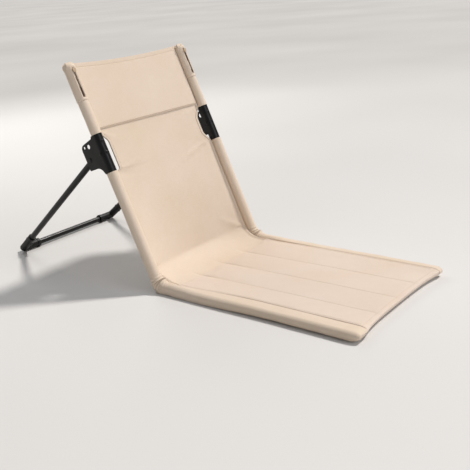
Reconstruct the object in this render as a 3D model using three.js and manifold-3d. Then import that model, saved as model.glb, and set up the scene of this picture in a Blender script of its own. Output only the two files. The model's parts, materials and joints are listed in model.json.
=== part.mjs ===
// Folding floor chair: a padded seat mat and a reclining back, each slipped over two round
// side tubes, hinged at the bend, with a U-shaped stand that swings out behind the back.
// Millimetres. +X is across the chair, -Y is the way the sitter faces and +Z is up. The origin
// lies on the ground, in the middle of the footprint. "left" is -X, "right" is +X.
import * as THREE from 'three';
import { mergeVertices } from 'three/addons/utils/BufferGeometryUtils.js';
import Module from 'manifold-3d';

const wasm = await Module();
wasm.setup();

// Driving dimensions
const gap = 0.3;                  // between pieces that touch
const overrun = 6;                // of a cutter past the face it cuts
const frameWidth = 375;           // between the axes of the side tubes
const backLength = 546;           // from the bend to the top of the cover
const seatLength = 522;           // from the bend to the front of the cover
const backAngle = 66.9;           // degrees of the back above the ground

const tubeDiameter = 19;          // side tubes
const tubeWall = 1.2;
const standTubeDiameter = 15;     // legs and crossbar
const standTubeWall = 1;

const sleeveDiameter = 26;        // padded cover round a side tube
const sleeveEnd = 4;              // thickness of its closed end
const sleeveRimShare = 0.75;      // of the closed end that is rounded
const sleeveFlat = 1;             // pressed flat where the seat rests on the ground
const capLength = 92;             // removable top of a back sleeve, with the zip
const capStep = 0.4;              // by which the cap is fatter than the sleeve under it
const bendReach = 45;             // length of gathered cloth on each side of the bend
const bendWall = 1.2;             // of the gathered sleeve round a hinge
const bendBulge = 6.2;            // by which it stands out, in the plane of the bend
const bendWiden = 2.8;            // and across the chair
const bendPull = 4;              // how closely it follows the two tube axes
const gatherCount = 3;
const gatherDepth = 0.9;

const bracketInset = 172;         // of its upper end, from the top of the cover
const bracketLength = 92;
const bracketSheet = 2;
const cheekDepth = 9;             // of the saddle's cheeks behind the tube axis
const finLow = 22;                // fin of the outer cheek, from the bracket's low end
const finHigh = 82;
const finReach = 55;              // of the fin behind the tube axis
const finCorner = 12;             // radius of its upper rear corner
const finSmallCorner = 3;
const pivotAlong = 45;            // stand pivot, from the bracket's low end
const pivotSetback = 41;          // stand pivot, behind the tube axis
const pivotBossRadius = 12;       // of the inner cheek round the pivot
const holeReach = 31.2;           // from the pivot to the two holes of the fin
const largeHoleDiameter = 10.5;
const largeHoleAngle = 21.6;      // degrees, from the fin's long way towards the tube
const smallHoleDiameter = 6.5;
const smallHoleAngle = -6.6;

const legSpan = 463.5;            // pivot to crossbar axis, seen from the side
const legInset = 24.5;            // by which each leg leans in over that span
const socketDiameter = 20.6;      // corner connectors of the stand
const legSocketLength = 62;
const barSocketLength = 50;
const collarDiameter = 23;
const collarLength = 8;
const connectorToe = 3.5;         // of the leg socket past the crossbar axis
const connectorCore = 15;         // solid middle, from the crossbar axis to the tube ends

const hingeOffset = 14;           // from the hinge axis to either tube axis
const knuckleReach = 22;          // from the bend to the collar of a hinge knuckle
const collarThickness = 4;
const plugLength = 30;
const plugHeadThickness = 4;      // of every end plug, past its tube
const forkWidth = 15;
const tongueWidth = 8.4;
const eyeRadius = 5.5;
const kneeRadius = 7;
const kneeReach = 6.5;
const hingePinDiameter = 5;

const panelSetback = 5;           // front of the cloth, behind or under the tube axes
const panelThickness = 3;
const panelSag = 5;
const pocketDepth = 40;           // hollow of the cloth behind the sitter's hips
const pocketReach = 330;          // up the back
const bendFullShare = 0.62;       // how far the cloth at the bend is drawn into its corner
const headrestSagShare = 0.4;     // of that sag, left behind the headrest
const topEdgeSag = 6;             // hollow of the back's top edge
const frontEdgeSag = 10;          // hollow of the seat's front edge
const cutoutDepth = 20;           // of the cloth's edge beside a bracket
const cutoutStep = 3.6;
const cutoutPower = 0.45;         // fullness of its curve
const bindingWidth = 1.8;
const bindingThickness = 4.2;
const headrestLength = 162;       // from its seam to the top of the cover
const headrestCrown = 7;
const crownPower = 0.4;
const coverThickness = 1.2;
const matThickness = 20;          // from the ground to the crown of the quilting
const matEdgeDrop = 5;            // by which it is lower beside the sleeves at the bend
const matEdgeDropShare = 0.2;     // of that, left at the front
const seamDepth = 4;
const matBottom = 1;
const foamStripCount = 4;
const quiltPower = 0.3;           // fullness of a strip between its seams
const quiltEndShares = [0.12, 0.05];     // of the mat's length, over which it rises, rear and front
const cornerTaper = 36;           // flat end of a seat sleeve, past its tube
const cornerTip = 3;              // half its thickness at the tip
const cornerWidthShare = 0.8;

const zipLength = 71;
const zipEndInset = 14;           // from the top of the cover
const zipAngle = 3;              // degrees from the front towards the outer side
const zipRecess = 1.6;
const tapeWidth = 9;
const tapeThickness = 0.8;
const chainWidth = 4;
const chainHeight = 1.5;
const toothPitch = 5;
const sliderLength = 10;
const sliderWidth = 8.4;
const sliderRoof = 1.6;
const sliderNoseShare = 0.35;     // of its width, rounded at each corner
const toothShares = [0.3, 0.55];  // root to tip across the chain, and tooth to pitch along it

const rivetDiameter = 4.8;        // through a bracket and its tube
const pivotRivetDiameter = 6;
const bushWall = 0.9;
const connectorRivetDiameter = 3.6;
const noseRivetShare = 0.29;      // of the bracket's length, from its middle
const rivetHeadShare = 1.9;       // head to shank
const headHeightShare = 0.34;     // head height to shank diameter

const roundSteps = 20;            // facets of a tube
const rivetSteps = 10;
const panelColumns = 10;          // facets of the cloth
const bendRings = 12;
const quiltColumns = 6;

// Worked-out places
const tubeRadius = tubeDiameter / 2;
const tubeBore = tubeRadius - tubeWall;
const sleeveRadius = sleeveDiameter / 2;
const sleeveBore = tubeRadius + gap;
const standRadius = standTubeDiameter / 2;
const standBore = standRadius - standTubeWall;
const axisHeight = sleeveRadius - sleeveFlat;
const bendHalfAngle = THREE.MathUtils.degToRad((180 - backAngle) / 2);
const hingeAlong = hingeOffset / Math.tan(bendHalfAngle);
const bracketHigh = backLength - bracketInset;
const bracketLow = bracketHigh - bracketLength;
const bracketMiddle = bracketLow + bracketLength / 2;
const saddleBore = tubeRadius + gap;
const saddleRadius = saddleBore + bracketSheet;
const pivotPlace = bracketLow + pivotAlong;
const headrestLow = backLength - headrestLength;
const collarRadius = collarDiameter / 2;
const capLow = backLength - capLength;
const tubeStart = knuckleReach + collarThickness + gap;
const panelEdge = frameWidth / 2 - gap - Math.sqrt(sleeveRadius ** 2 - panelSetback ** 2);

// Materials
const finish = (color, roughness, metalness) =>
  new THREE.MeshStandardMaterial({ color, roughness, metalness });
const cloth = finish(0xe6d3c0, 0.9, 0);
const liningCloth = finish(0xd8c3ae, 0.95, 0);
const foam = finish(0xf2efe6, 1, 0);
const blackSteel = finish(0x151515, 0.35, 0.6);
const rawSteel = finish(0x9a9b9d, 0.4, 0.9);
const blackPlastic = finish(0x101010, 0.5, 0);
const darkCord = finish(0x3a2f28, 0.6, 0);

// Closed, outward-facing triangles with shared vertices and nothing but positions
function clean(geometry) {
  const bare = geometry.clone();
  for (const name of Object.keys(bare.attributes)) {
    if (name !== 'position') bare.deleteAttribute(name);
  }
  const merged = mergeVertices(bare, 1e-4);
  const index = merged.index.array;
  const kept = [];
  for (let i = 0; i < index.length; i += 3) {
    const [a, b, c] = [index[i], index[i + 1], index[i + 2]];
    if (a !== b && b !== c && c !== a) kept.push(a, b, c);
  }
  merged.setIndex(kept);
  merged.clearGroups();
  return signedVolume(merged) < 0 ? flipped(merged) : merged;
}

function signedVolume(geometry) {
  const points = geometry.attributes.position;
  const index = geometry.index.array;
  const corners = [new THREE.Vector3(), new THREE.Vector3(), new THREE.Vector3()];
  let sum = 0;
  for (let i = 0; i < index.length; i += 3) {
    corners.forEach((corner, j) => corner.fromBufferAttribute(points, index[i + j]));
    sum += corners[0].dot(corners[1].cross(corners[2])) / 6;
  }
  return sum;
}

function flipped(geometry) {
  const turned = geometry.clone();
  const index = Array.from(turned.index.array);
  for (let i = 0; i < index.length; i += 3) [index[i], index[i + 1]] = [index[i + 1], index[i]];
  turned.setIndex(index);
  return turned;
}

const mirrored = (geometry, x, y) => flipped(clean(geometry).scale(x, y, 1));
const mirroredAcross = (geometry) => mirrored(geometry, -1, 1);
const mirroredAlong = (geometry) => mirrored(geometry, 1, -1);

// Joining and cutting
function toSolid(geometry) {
  const { attributes, index } = clean(geometry);
  return new wasm.Manifold(new wasm.Mesh({
    numProp: 3,
    vertProperties: new Float32Array(attributes.position.array),
    triVerts: new Uint32Array(index.array),
  }));
}

function toGeometry(solid) {
  const mesh = solid.getMesh();
  const geometry = new THREE.BufferGeometry();
  geometry.setAttribute('position', new THREE.BufferAttribute(mesh.vertProperties, 3));
  geometry.setIndex(new THREE.BufferAttribute(mesh.triVerts, 1));
  return geometry;
}

const fuse = (...parts) => toGeometry(parts.map(toSolid).reduce((sum, part) => sum.add(part)));
const cut = (base, ...tools) =>
  toGeometry(tools.map(toSolid).reduce((rest, tool) => rest.subtract(tool), toSolid(base)));

// Simple forms. A form of revolution stands on the Y axis.
function revolved(outline, facets = roundSteps) {
  return new THREE.LatheGeometry(outline.map(([radius, y]) => new THREE.Vector2(radius, y)), facets);
}

const pipe = (outer, bore, from, to) =>
  revolved([[bore, from], [outer, from], [outer, to], [bore, to], [bore, from]]);

const bar = (radius, from, to, facets = roundSteps) =>
  revolved([[0, from], [radius, from], [radius, to], [0, to]], facets);

const alongX = (geometry) => geometry.rotateZ(-Math.PI / 2);
const alongZ = (geometry) => geometry.rotateX(Math.PI / 2);

function box(xs, ys, zs) {
  const [width, depth, height] = [xs, ys, zs].map(([low, high]) => high - low);
  const middle = [xs, ys, zs].map(([low, high]) => (low + high) / 2);
  return new THREE.BoxGeometry(width, depth, height).translate(...middle);
}

// A plate: its outline in Y and Z, its thickness along X
function plate(outline, from, to) {
  const turn = new THREE.Matrix4().makeBasis(
    new THREE.Vector3(0, 1, 0), new THREE.Vector3(0, 0, 1), new THREE.Vector3(1, 0, 0));
  return new THREE.ExtrudeGeometry(outline, { depth: to - from, bevelEnabled: false, curveSegments: 6 })
    .applyMatrix4(turn).translate(from, 0, 0);
}

// A rail: its profile in X and Z, its length along Y
function rail(profile, from, to) {
  const turn = new THREE.Matrix4().makeBasis(
    new THREE.Vector3(1, 0, 0), new THREE.Vector3(0, 0, 1), new THREE.Vector3(0, -1, 0));
  return new THREE.ExtrudeGeometry(profile, { depth: to - from, bevelEnabled: false, curveSegments: 10 })
    .applyMatrix4(turn).translate(0, to, 0);
}

// An outline through corners [y, z, radius], each corner rounded by its radius
function roundedOutline(corners) {
  const shape = new THREE.Shape();
  corners.forEach(([y, z, radius], i) => {
    const here = new THREE.Vector2(y, z);
    const [before, after] = [corners.at(i - 1), corners[(i + 1) % corners.length]]
      .map(([v, w]) => new THREE.Vector2(v, w).sub(here).setLength(radius).add(here));
    if (i === 0) shape.moveTo(before.x, before.y);
    else shape.lineTo(before.x, before.y);
    if (radius > 0) shape.quadraticCurveTo(y, z, after.x, after.y);
  });
  shape.closePath();
  return shape;
}

// The outline of a band drawn tight round discs [y, z, radius]
function bandRound(discs) {
  const rim = discs.flatMap(([y, z, radius]) => Array.from({ length: roundSteps }, (_, i) => {
    const angle = (2 * Math.PI * i) / roundSteps;
    return new THREE.Vector2(y + radius * Math.cos(angle), z + radius * Math.sin(angle));
  })).sort((a, b) => a.x - b.x || a.y - b.y);
  const chain = (points) => points.reduce((hull, point) => {
    const turnsIn = () => {
      const [a, b] = hull.slice(-2);
      return (b.x - a.x) * (point.y - a.y) - (b.y - a.y) * (point.x - a.x) <= 0;
    };
    while (hull.length > 1 && turnsIn()) hull.pop();
    hull.push(point);
    return hull;
  }, []);
  return new THREE.Shape([...chain(rim).slice(0, -1), ...chain(rim.reverse()).slice(0, -1)]);
}

// A closed body between two grids of points: front(u, v) and back(u, v)
function slab(us, vs, front, back) {
  const [columns, rows] = [us.length, vs.length];
  const points = [front, back].flatMap((face) => vs.flatMap((v) => us.map((u) => face(u, v))));
  const at = (layer, i, j) => layer * columns * rows + j * columns + i;
  const quads = [];
  for (let j = 0; j + 1 < rows; j += 1) {
    for (let i = 0; i + 1 < columns; i += 1) {
      quads.push([at(0, i, j), at(0, i + 1, j), at(0, i + 1, j + 1), at(0, i, j + 1)]);
      quads.push([at(1, i, j + 1), at(1, i + 1, j + 1), at(1, i + 1, j), at(1, i, j)]);
    }
  }
  for (let i = 0; i + 1 < columns; i += 1) {
    quads.push([at(0, i + 1, 0), at(0, i, 0), at(1, i, 0), at(1, i + 1, 0)]);
    quads.push([at(0, i, rows - 1), at(0, i + 1, rows - 1), at(1, i + 1, rows - 1), at(1, i, rows - 1)]);
  }
  for (let j = 0; j + 1 < rows; j += 1) {
    quads.push([at(0, 0, j), at(0, 0, j + 1), at(1, 0, j + 1), at(1, 0, j)]);
    const last = columns - 1;
    quads.push([at(0, last, j + 1), at(0, last, j), at(1, last, j), at(1, last, j + 1)]);
  }
  return faceted(points, quads.flatMap(([a, b, c, d]) => [a, b, c, a, c, d]));
}

// A closed body through rings of points, with a fan over each end
function loft(rings) {
  const count = rings[0].length;
  const middle = (ring) =>
    ring.reduce((sum, point) => sum.add(point), new THREE.Vector3()).divideScalar(count);
  const points = [...rings.flat(), middle(rings[0]), middle(rings.at(-1))];
  const [startFan, endFan] = [points.length - 2, points.length - 1];
  const index = [];
  for (let i = 0; i < count; i += 1) {
    const next = (i + 1) % count;
    for (let j = 0; j + 1 < rings.length; j += 1) {
      const [a, b] = [j * count + i, j * count + next];
      index.push(a, b, b + count, a, b + count, a + count);
    }
    const last = (rings.length - 1) * count;
    index.push(startFan, next, i, endFan, last + i, last + next);
  }
  return faceted(points, index);
}

function faceted(points, index) {
  const geometry = new THREE.BufferGeometry().setFromPoints(points);
  geometry.setIndex(index);
  return geometry;
}

const steps = (count) => Array.from({ length: count + 1 }, (_, i) => i / count);
const easedSteps = (count) => steps(count).map((share) => (1 - Math.cos(Math.PI * share)) / 2);
const between = (low, high, share) => low + (high - low) * share;

// A rivet on the Y axis, domed at the top and, if asked, at the foot too
function rivet(diameter, from, to, domedFoot = true) {
  const head = (diameter * rivetHeadShare) / 2;
  const height = diameter * headHeightShare;
  const dome = steps(2).map((share) => (share * Math.PI) / 2)
    .map((angle) => [head * Math.cos(angle), height * Math.sin(angle)]);
  const top = dome.map(([radius, rise]) => [radius, to + rise]);
  const foot = domedFoot ? dome.map(([radius, rise]) => [radius, from - rise]).reverse() : [[0, from]];
  return revolved([...foot, [diameter / 2, from], [diameter / 2, to], ...top], rivetSteps);
}

// The scene graph: seat, back turned up at the bend, stand hung on the back's brackets
const chair = new THREE.Group();
const seat = new THREE.Group();
const back = new THREE.Group();
const stand = new THREE.Group();
const backTurn = THREE.MathUtils.degToRad(backAngle);
seat.position.z = axisHeight;
back.rotation.x = backTurn;
seat.add(back);
chair.add(seat);

// The stand's angle puts the corner connectors on the ground.
const pivotHeight = axisHeight + pivotPlace * Math.sin(backTurn) - pivotSetback * Math.cos(backTurn);
const standTurn = -Math.asin((pivotHeight - collarRadius) / legSpan);
stand.position.set(0, pivotPlace, -pivotSetback);
stand.rotation.x = standTurn - backTurn;
back.add(stand);

function add(group, name, geometry, material) {
  const mesh = new THREE.Mesh(clean(geometry), material);
  mesh.name = name;
  group.add(mesh);
  return mesh;
}

// A right-hand piece round its own tube axis, and its mirror image on the left
function addPair(group, name, geometry, material) {
  add(group, `${name}_left`, mirroredAcross(geometry), material).position.x = -frameWidth / 2;
  add(group, `${name}_right`, geometry, material).position.x = frameWidth / 2;
}

// Side tubes and their end plugs
const backTubeEnd = backLength - sleeveEnd - plugHeadThickness - 2 * gap;
const seatTubeEnd = seatLength - cornerTaper - plugHeadThickness - 2 * gap;

function endPlug(tubeEnd, diameter, bore, inside) {
  const [outer, plug] = [diameter / 2, bore - gap];
  const start = tubeEnd + gap;
  const edge = plugHeadThickness / 3;
  const [foot, top] = [start - inside, start + plugHeadThickness];
  return revolved([[0, foot], [plug - gap, foot], [plug, foot + edge], [plug, start],
    [outer, start], [outer, top - edge], [outer - edge, top], [0, top]]);
}

const rivetHole = rivetDiameter / 2 + gap;
const noseRivetPlaces = [bracketMiddle, bracketMiddle + bracketLength * noseRivetShare];
const cheekRivetHole = alongX(bar(rivetHole, -saddleRadius - overrun, saddleRadius + overrun, rivetSteps))
  .translate(0, bracketMiddle, 0);
const noseRivetHoles = noseRivetPlaces.map((place) =>
  alongZ(bar(rivetHole, tubeRadius / 2, saddleRadius + overrun, rivetSteps)).translate(0, place, 0));

const backTube = pipe(tubeRadius, tubeBore, tubeStart, backTubeEnd);
const seatTube = pipe(tubeRadius, tubeBore, tubeStart, seatTubeEnd);
const backPlug = endPlug(backTubeEnd, tubeDiameter, tubeBore, plugLength / 2);
const seatPlug = endPlug(seatTubeEnd, tubeDiameter, tubeBore, plugLength / 2);
addPair(back, 'back_tube', cut(backTube, cheekRivetHole, ...noseRivetHoles), blackSteel);
addPair(back, 'back_top_plug', backPlug, blackPlastic);
addPair(seat, 'seat_tube', mirroredAlong(seatTube), blackSteel);
addPair(seat, 'seat_end_plug', mirroredAlong(seatPlug), blackPlastic);

// Hinge at the bend: a fork on the seat tube, a tongue on the back tube and a pin. The hinge
// axis lies inside the bend, so the back can lie flat on the seat.
const knuckleOutline = bandRound([
  [knuckleReach, kneeRadius - eyeRadius / 2, eyeRadius / 2],
  [knuckleReach, eyeRadius / 2 - kneeRadius, eyeRadius / 2],
  [kneeReach, 0, kneeRadius], [hingeAlong, hingeOffset, eyeRadius]]);
const knuckleStem = fuse(
  bar(tubeRadius, knuckleReach, knuckleReach + collarThickness),
  bar(tubeBore - gap, knuckleReach, knuckleReach + collarThickness + plugLength));
const pinHole = alongX(bar(hingePinDiameter / 2 + gap, -forkWidth, forkWidth))
  .translate(0, hingeAlong, hingeOffset);
const stemSide = box([-sleeveDiameter, sleeveDiameter], [knuckleReach, knuckleReach + plugLength],
  [-sleeveDiameter, sleeveDiameter]);
const slotHalf = tongueWidth / 2 + gap;
const slot = box([-slotHalf, slotHalf], [-sleeveDiameter, knuckleReach - gap],
  [-sleeveDiameter, sleeveDiameter * 2]);
const forkCheeks = cut(plate(knuckleOutline, -forkWidth / 2, forkWidth / 2), stemSide, slot, pinHole);
const tongueCheek = cut(plate(knuckleOutline, -tongueWidth / 2, tongueWidth / 2), stemSide, pinHole);
const fork = fuse(forkCheeks, knuckleStem);
const tongue = fuse(tongueCheek, knuckleStem);

addPair(seat, 'seat_hinge_fork', mirroredAlong(fork), blackPlastic);
addPair(back, 'back_hinge_tongue', tongue, blackPlastic);
addPair(seat, 'hinge_pin', alongX(bar(hingePinDiameter / 2, -forkWidth / 2, forkWidth / 2, rivetSteps))
  .translate(0, -hingeAlong, hingeOffset), rawSteel);

// Bracket: a folded saddle round the front of the tube. Its outer cheek runs back as a fin,
// and its inner cheek ends in a boss round the stand's pivot. Two blind rivets are set in its
// nose, and a third goes through both cheeks and the tube.
function saddleProfile() {
  const profile = new THREE.Shape();
  profile.moveTo(saddleRadius, -cheekDepth);
  profile.absarc(0, 0, saddleRadius, 0, Math.PI, false);
  profile.lineTo(-saddleRadius, -cheekDepth);
  profile.lineTo(-saddleBore, -cheekDepth);
  profile.absarc(0, 0, saddleBore, Math.PI, 0, true);
  profile.lineTo(saddleBore, -cheekDepth);
  profile.closePath();
  return profile;
}

const finOutline = roundedOutline([
  [bracketLow, 0, 0],
  [bracketLow, -cheekDepth, 0],
  [bracketLow + finLow - finSmallCorner, -cheekDepth * 2, finCorner],
  [bracketLow + finLow, -finReach, finSmallCorner],
  [bracketLow + finHigh, -finReach, finCorner],
  [bracketHigh - finSmallCorner * 1.5, -cheekDepth * 1.2, finSmallCorner],
  [bracketHigh, -cheekDepth, 0],
  [bracketHigh, 0, 0]]);
const innerBoss = bandRound([
  [pivotPlace, -pivotSetback, pivotBossRadius],
  [pivotPlace + pivotBossRadius, -cheekDepth, bracketSheet],
  [pivotPlace - pivotBossRadius * 1.5, -cheekDepth, bracketSheet]]);

function finHole(diameter, angle) {
  const turn = THREE.MathUtils.degToRad(angle);
  return alongX(bar(diameter / 2, 0, saddleRadius + overrun, rivetSteps * 2))
    .translate(0, pivotPlace + holeReach * Math.cos(turn), -pivotSetback + holeReach * Math.sin(turn));
}

const throughBracket = saddleRadius + overrun;
const pivotHole = alongX(bar(pivotRivetDiameter / 2 + gap, -throughBracket, throughBracket, rivetSteps))
  .translate(0, pivotPlace, -pivotSetback);
const noseRivets = noseRivetPlaces.map((place) =>
  alongZ(rivet(rivetDiameter, tubeBore / 2, saddleRadius - gap, false)).translate(0, place, 0));
const bracket = cut(
  fuse(rail(saddleProfile(), bracketLow, bracketHigh), plate(finOutline, saddleBore, saddleRadius),
    plate(innerBoss, -saddleRadius, -saddleBore)),
  pivotHole, finHole(largeHoleDiameter, largeHoleAngle), finHole(smallHoleDiameter, smallHoleAngle),
  cheekRivetHole);
addPair(back, 'bracket', fuse(bracket, ...noseRivets), blackSteel);

const cheekHalf = saddleRadius + gap;
addPair(back, 'bracket_rivet', alongX(rivet(rivetDiameter, -cheekHalf, cheekHalf))
  .translate(0, bracketMiddle, 0), blackSteel);
addPair(back, 'pivot_rivet', alongX(rivet(pivotRivetDiameter, -cheekHalf, cheekHalf))
  .translate(0, pivotPlace, -pivotSetback), blackSteel);

// Stand: two leaning legs, a crossbar and two moulded corner connectors. The upper end of a
// leg stops against the back tube when the stand is open.
const legTilt = Math.atan2(legInset, legSpan);
const legLength = Math.hypot(legInset, legSpan);
const tailReach = pivotSetback - tubeRadius - 2 * gap;
const tailLength = Math.sqrt(tailReach ** 2 - standRadius ** 2);
const tailPlugStart = tailLength - plugHeadThickness - gap;
const bushBore = pivotRivetDiameter / 2 + gap;
const bushRadius = bushBore + bushWall;
const legHole = alongX(bar(bushRadius + gap, -saddleRadius, saddleRadius, rivetSteps));
const leg = pipe(standRadius, standBore, -tailPlugStart, legLength - connectorCore).rotateZ(legTilt);
const connectorRivetHole = connectorRivetDiameter / 2 + gap;
const legRivetPlace = legLength - (connectorCore + legSocketLength) / 2;
const legConnectorHole = alongZ(bar(connectorRivetHole, -socketDiameter, socketDiameter, rivetSteps))
  .translate(0, legRivetPlace, 0).rotateZ(legTilt);
const barReach = frameWidth / 2 - legInset - connectorCore;

addPair(stand, 'leg', cut(leg, legHole, legConnectorHole), blackSteel);
const legPlug = endPlug(tailPlugStart, standTubeDiameter, standBore, plugHeadThickness * 2);
addPair(stand, 'leg_top_plug', mirroredAlong(legPlug).rotateZ(legTilt), blackPlastic);
const crossbar = alongX(pipe(standRadius, standBore, -barReach, barReach));
add(stand, 'crossbar', crossbar.translate(0, legSpan, 0), blackSteel);

const socketRadius = socketDiameter / 2;
const legSocket = bar(socketRadius, legLength - legSocketLength, legLength + connectorToe).rotateZ(legTilt);
const alongCrossbar = (geometry) => geometry.rotateZ(Math.PI / 2).translate(-legInset, legSpan, 0);
const collar = bar(collarRadius, barSocketLength - collarLength, barSocketLength);
const barSocket = alongCrossbar(fuse(bar(socketRadius, 0, barSocketLength), collar));
const tubeFit = standRadius + gap;
const legBore = bar(tubeFit, legLength - legSocketLength - overrun, legLength - connectorCore + gap)
  .rotateZ(legTilt);
const barBore = alongCrossbar(bar(tubeFit, connectorCore - gap, barSocketLength + overrun));
const connector = cut(fuse(legSocket, barSocket), legBore, barBore, legConnectorHole);
addPair(stand, 'corner_connector', connector, blackPlastic);

const rivetHalf = socketRadius + gap;
addPair(stand, 'connector_rivet', alongZ(rivet(connectorRivetDiameter, -rivetHalf, rivetHalf))
  .translate(0, legRivetPlace, 0).rotateZ(legTilt), blackSteel);

// A flanged bush through the leg carries it on the pivot rivet, clear of both cheeks.
const flangeRadius = pivotRivetDiameter;
const flangeInner = standRadius / Math.cos(legTilt) + flangeRadius * Math.tan(legTilt) + gap / 2;
const flangeOuter = saddleBore - gap;
const bushOutline = [
  [bushBore, -flangeOuter], [flangeRadius, -flangeOuter], [flangeRadius, -flangeInner],
  [bushRadius, -flangeInner], [bushRadius, flangeInner], [flangeRadius, flangeInner],
  [flangeRadius, flangeOuter], [bushBore, flangeOuter], [bushBore, -flangeOuter]];
addPair(stand, 'pivot_bush', alongX(revolved(bushOutline, rivetSteps)), blackPlastic);

// Sleeves of the cover
const sleeveTop = sleeveRadius - capStep;

function closedSleeve(radius, from, to) {
  const rim = sleeveEnd * sleeveRimShare;
  return revolved([[0, to - sleeveEnd], [sleeveBore, to - sleeveEnd], [sleeveBore, from], [radius, from],
    [radius, to - rim], [radius - rim / 3, to - rim / 3], [radius - rim, to], [0, to]]);
}

const zipLow = backLength - zipEndInset - zipLength;
const zipHigh = backLength - zipEndInset;
const zipTurn = THREE.MathUtils.degToRad(zipAngle);
const recessFloor = sleeveRadius - zipRecess;
const recessHalf = tapeWidth / 2 + gap;
const recess = box([-recessHalf, recessHalf], [zipLow - gap, zipHigh + gap],
  [recessFloor, sleeveRadius + overrun]).rotateY(zipTurn);
const lowerSleeve = pipe(sleeveRadius, sleeveBore, bendReach + gap, bracketLow - gap);
const upperSleeve = pipe(sleeveTop, sleeveBore, bracketHigh + gap, capLow - gap);
addPair(back, 'back_sleeve_lower', lowerSleeve, cloth);
addPair(back, 'back_sleeve_upper', upperSleeve, cloth);
addPair(back, 'back_sleeve_cap', cut(closedSleeve(sleeveRadius, capLow, backLength), recess), cloth);

const groundUnderSeat = box([-sleeveDiameter, sleeveDiameter], [-seatLength - overrun, overrun],
  [-sleeveDiameter, -axisHeight]);
const seatSleeveLow = bendReach + gap;
const cornerLow = seatLength - cornerTaper;

function seatSleeveRing(place) {
  const round = Math.cos((Math.PI / 2) * Math.max(0, (place - cornerLow) / cornerTaper));
  const high = between(cornerTip, sleeveRadius, round);
  const wide = between(sleeveRadius * cornerWidthShare, sleeveRadius, round);
  return Array.from({ length: roundSteps }, (_, i) => {
    const angle = (2 * Math.PI * (i + 0.5)) / roundSteps;
    return new THREE.Vector3(wide * Math.cos(angle), -place, high - sleeveRadius + high * Math.sin(angle));
  });
}

const cornerPlaces = steps(4).map((share) => cornerLow + cornerTaper * Math.sin((share * Math.PI) / 2));
const seatSleeve = loft([seatSleeveLow, ...cornerPlaces].map(seatSleeveRing));
const seatTubeRoom = mirroredAlong(bar(sleeveBore, seatSleeveLow - overrun, cornerLow));
addPair(seat, 'seat_sleeve', cut(seatSleeve, seatTubeRoom, groundUnderSeat), cloth);

// Zip in the recess of each cap: tape, chain and a slider that runs on the chain
const tapeTop = recessFloor + gap + tapeThickness;
const chainLow = tapeTop + gap;
const chainTop = chainLow + chainHeight;
const chainInset = (tapeWidth - chainWidth) / 4;

function chainOutline() {
  const teeth = Math.floor((zipLength - 2 * chainInset) / toothPitch);
  const start = zipLow + (zipLength - teeth * toothPitch) / 2;
  const [rootShare, lengthShare] = toothShares;
  const [root, tip] = [chainWidth * rootShare, chainWidth / 2];
  const toothLength = toothPitch * lengthShare;
  const edge = Array.from({ length: teeth }, (_, i) => start + i * toothPitch).flatMap((low) => [
    [tip, low], [tip, low + toothLength], [root, low + toothLength], [root, low + toothPitch]]);
  const other = edge.map(([x, place]) => [-x, place]).reverse();
  return new THREE.Shape([...edge, ...other].map(([x, place]) => new THREE.Vector2(x, place)));
}

const upright = (shape, from, to) =>
  new THREE.ExtrudeGeometry(shape, { depth: to - from, bevelEnabled: false }).translate(0, 0, from);
const tape = box([-tapeWidth / 2, tapeWidth / 2], [zipLow, zipHigh], [recessFloor + gap, tapeTop]);
addPair(back, 'zip_tape', tape.rotateY(zipTurn), cloth);
addPair(back, 'zip_chain', upright(chainOutline(), chainLow, chainTop).rotateY(zipTurn), darkCord);

const sliderPlace = zipHigh - chainInset * 2 - sliderLength / 2;
const sliderNose = sliderWidth * sliderNoseShare;
const [sliderTail, sliderFront] = [sliderPlace - sliderLength / 2, sliderPlace + sliderLength / 2];
const sliderShape = roundedOutline([
  [-sliderWidth / 2, sliderFront, sliderNose], [sliderWidth / 2, sliderFront, sliderNose],
  [sliderWidth / 2, sliderPlace, 0], [sliderNose, sliderTail, 0],
  [-sliderNose, sliderTail, 0], [-sliderWidth / 2, sliderPlace, 0]]);
const sliderTop = chainTop + gap + sliderRoof;
const channelHalf = chainWidth / 2 + gap;
const sliderChannel = box([-channelHalf, channelHalf],
  [sliderPlace - sliderLength, sliderPlace + sliderLength], [chainLow - overrun, chainTop + gap]);
const slider = cut(upright(sliderShape, chainLow, sliderTop), sliderChannel);
addPair(back, 'zip_slider', slider.rotateY(zipTurn), rawSteel);

// Cloth of the back: one sheet between the sleeves, drawn in beside the brackets
const acrossShares = steps(panelColumns);
const cutoutInset = (place) => {
  const share = (place - bracketLow) / bracketLength;
  const inside = share >= 0 && share <= 1;
  return inside ? between(cutoutStep, cutoutDepth, Math.sin(Math.PI * share) ** cutoutPower) : 0;
};
const sideways = (u) => 2 * u - 1;
const bow = (u) => 1 - sideways(u) ** 2;
const sagShare = (place) => (place > headrestLow ? headrestSagShare : 1);
const pocketShare = (place) => Math.max(0, 1 - place / pocketReach) ** 2;
const panelFront = (u, place) =>
  -panelSetback - bow(u) * (panelSag * sagShare(place) + pocketDepth * pocketShare(place));
const topEdge = (u, inset) => backLength - inset - topEdgeSag * bow(u);
const cutoutRows = steps(8).map((share) => between(bracketLow, bracketHigh, share));
const panelRows = [
  ...steps(5).map((share) => between(bendReach + gap, bracketLow - gap, share)), ...cutoutRows,
  bracketHigh + gap, headrestLow - gap, headrestLow];
const panelTopRows = steps(5).slice(1);

function panelPoint(u, row, depth) {
  const place = row <= 1 ? between(headrestLow, topEdge(u, coverThickness), row) : row;
  const edge = panelEdge - cutoutInset(place);
  return new THREE.Vector3(sideways(u) * edge, place, panelFront(u, place) - depth);
}

add(back, 'back_panel', slab(acrossShares, [...panelRows, ...panelTopRows],
  (u, row) => panelPoint(u, row, 0), (u, row) => panelPoint(u, row, panelThickness)), cloth);

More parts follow.
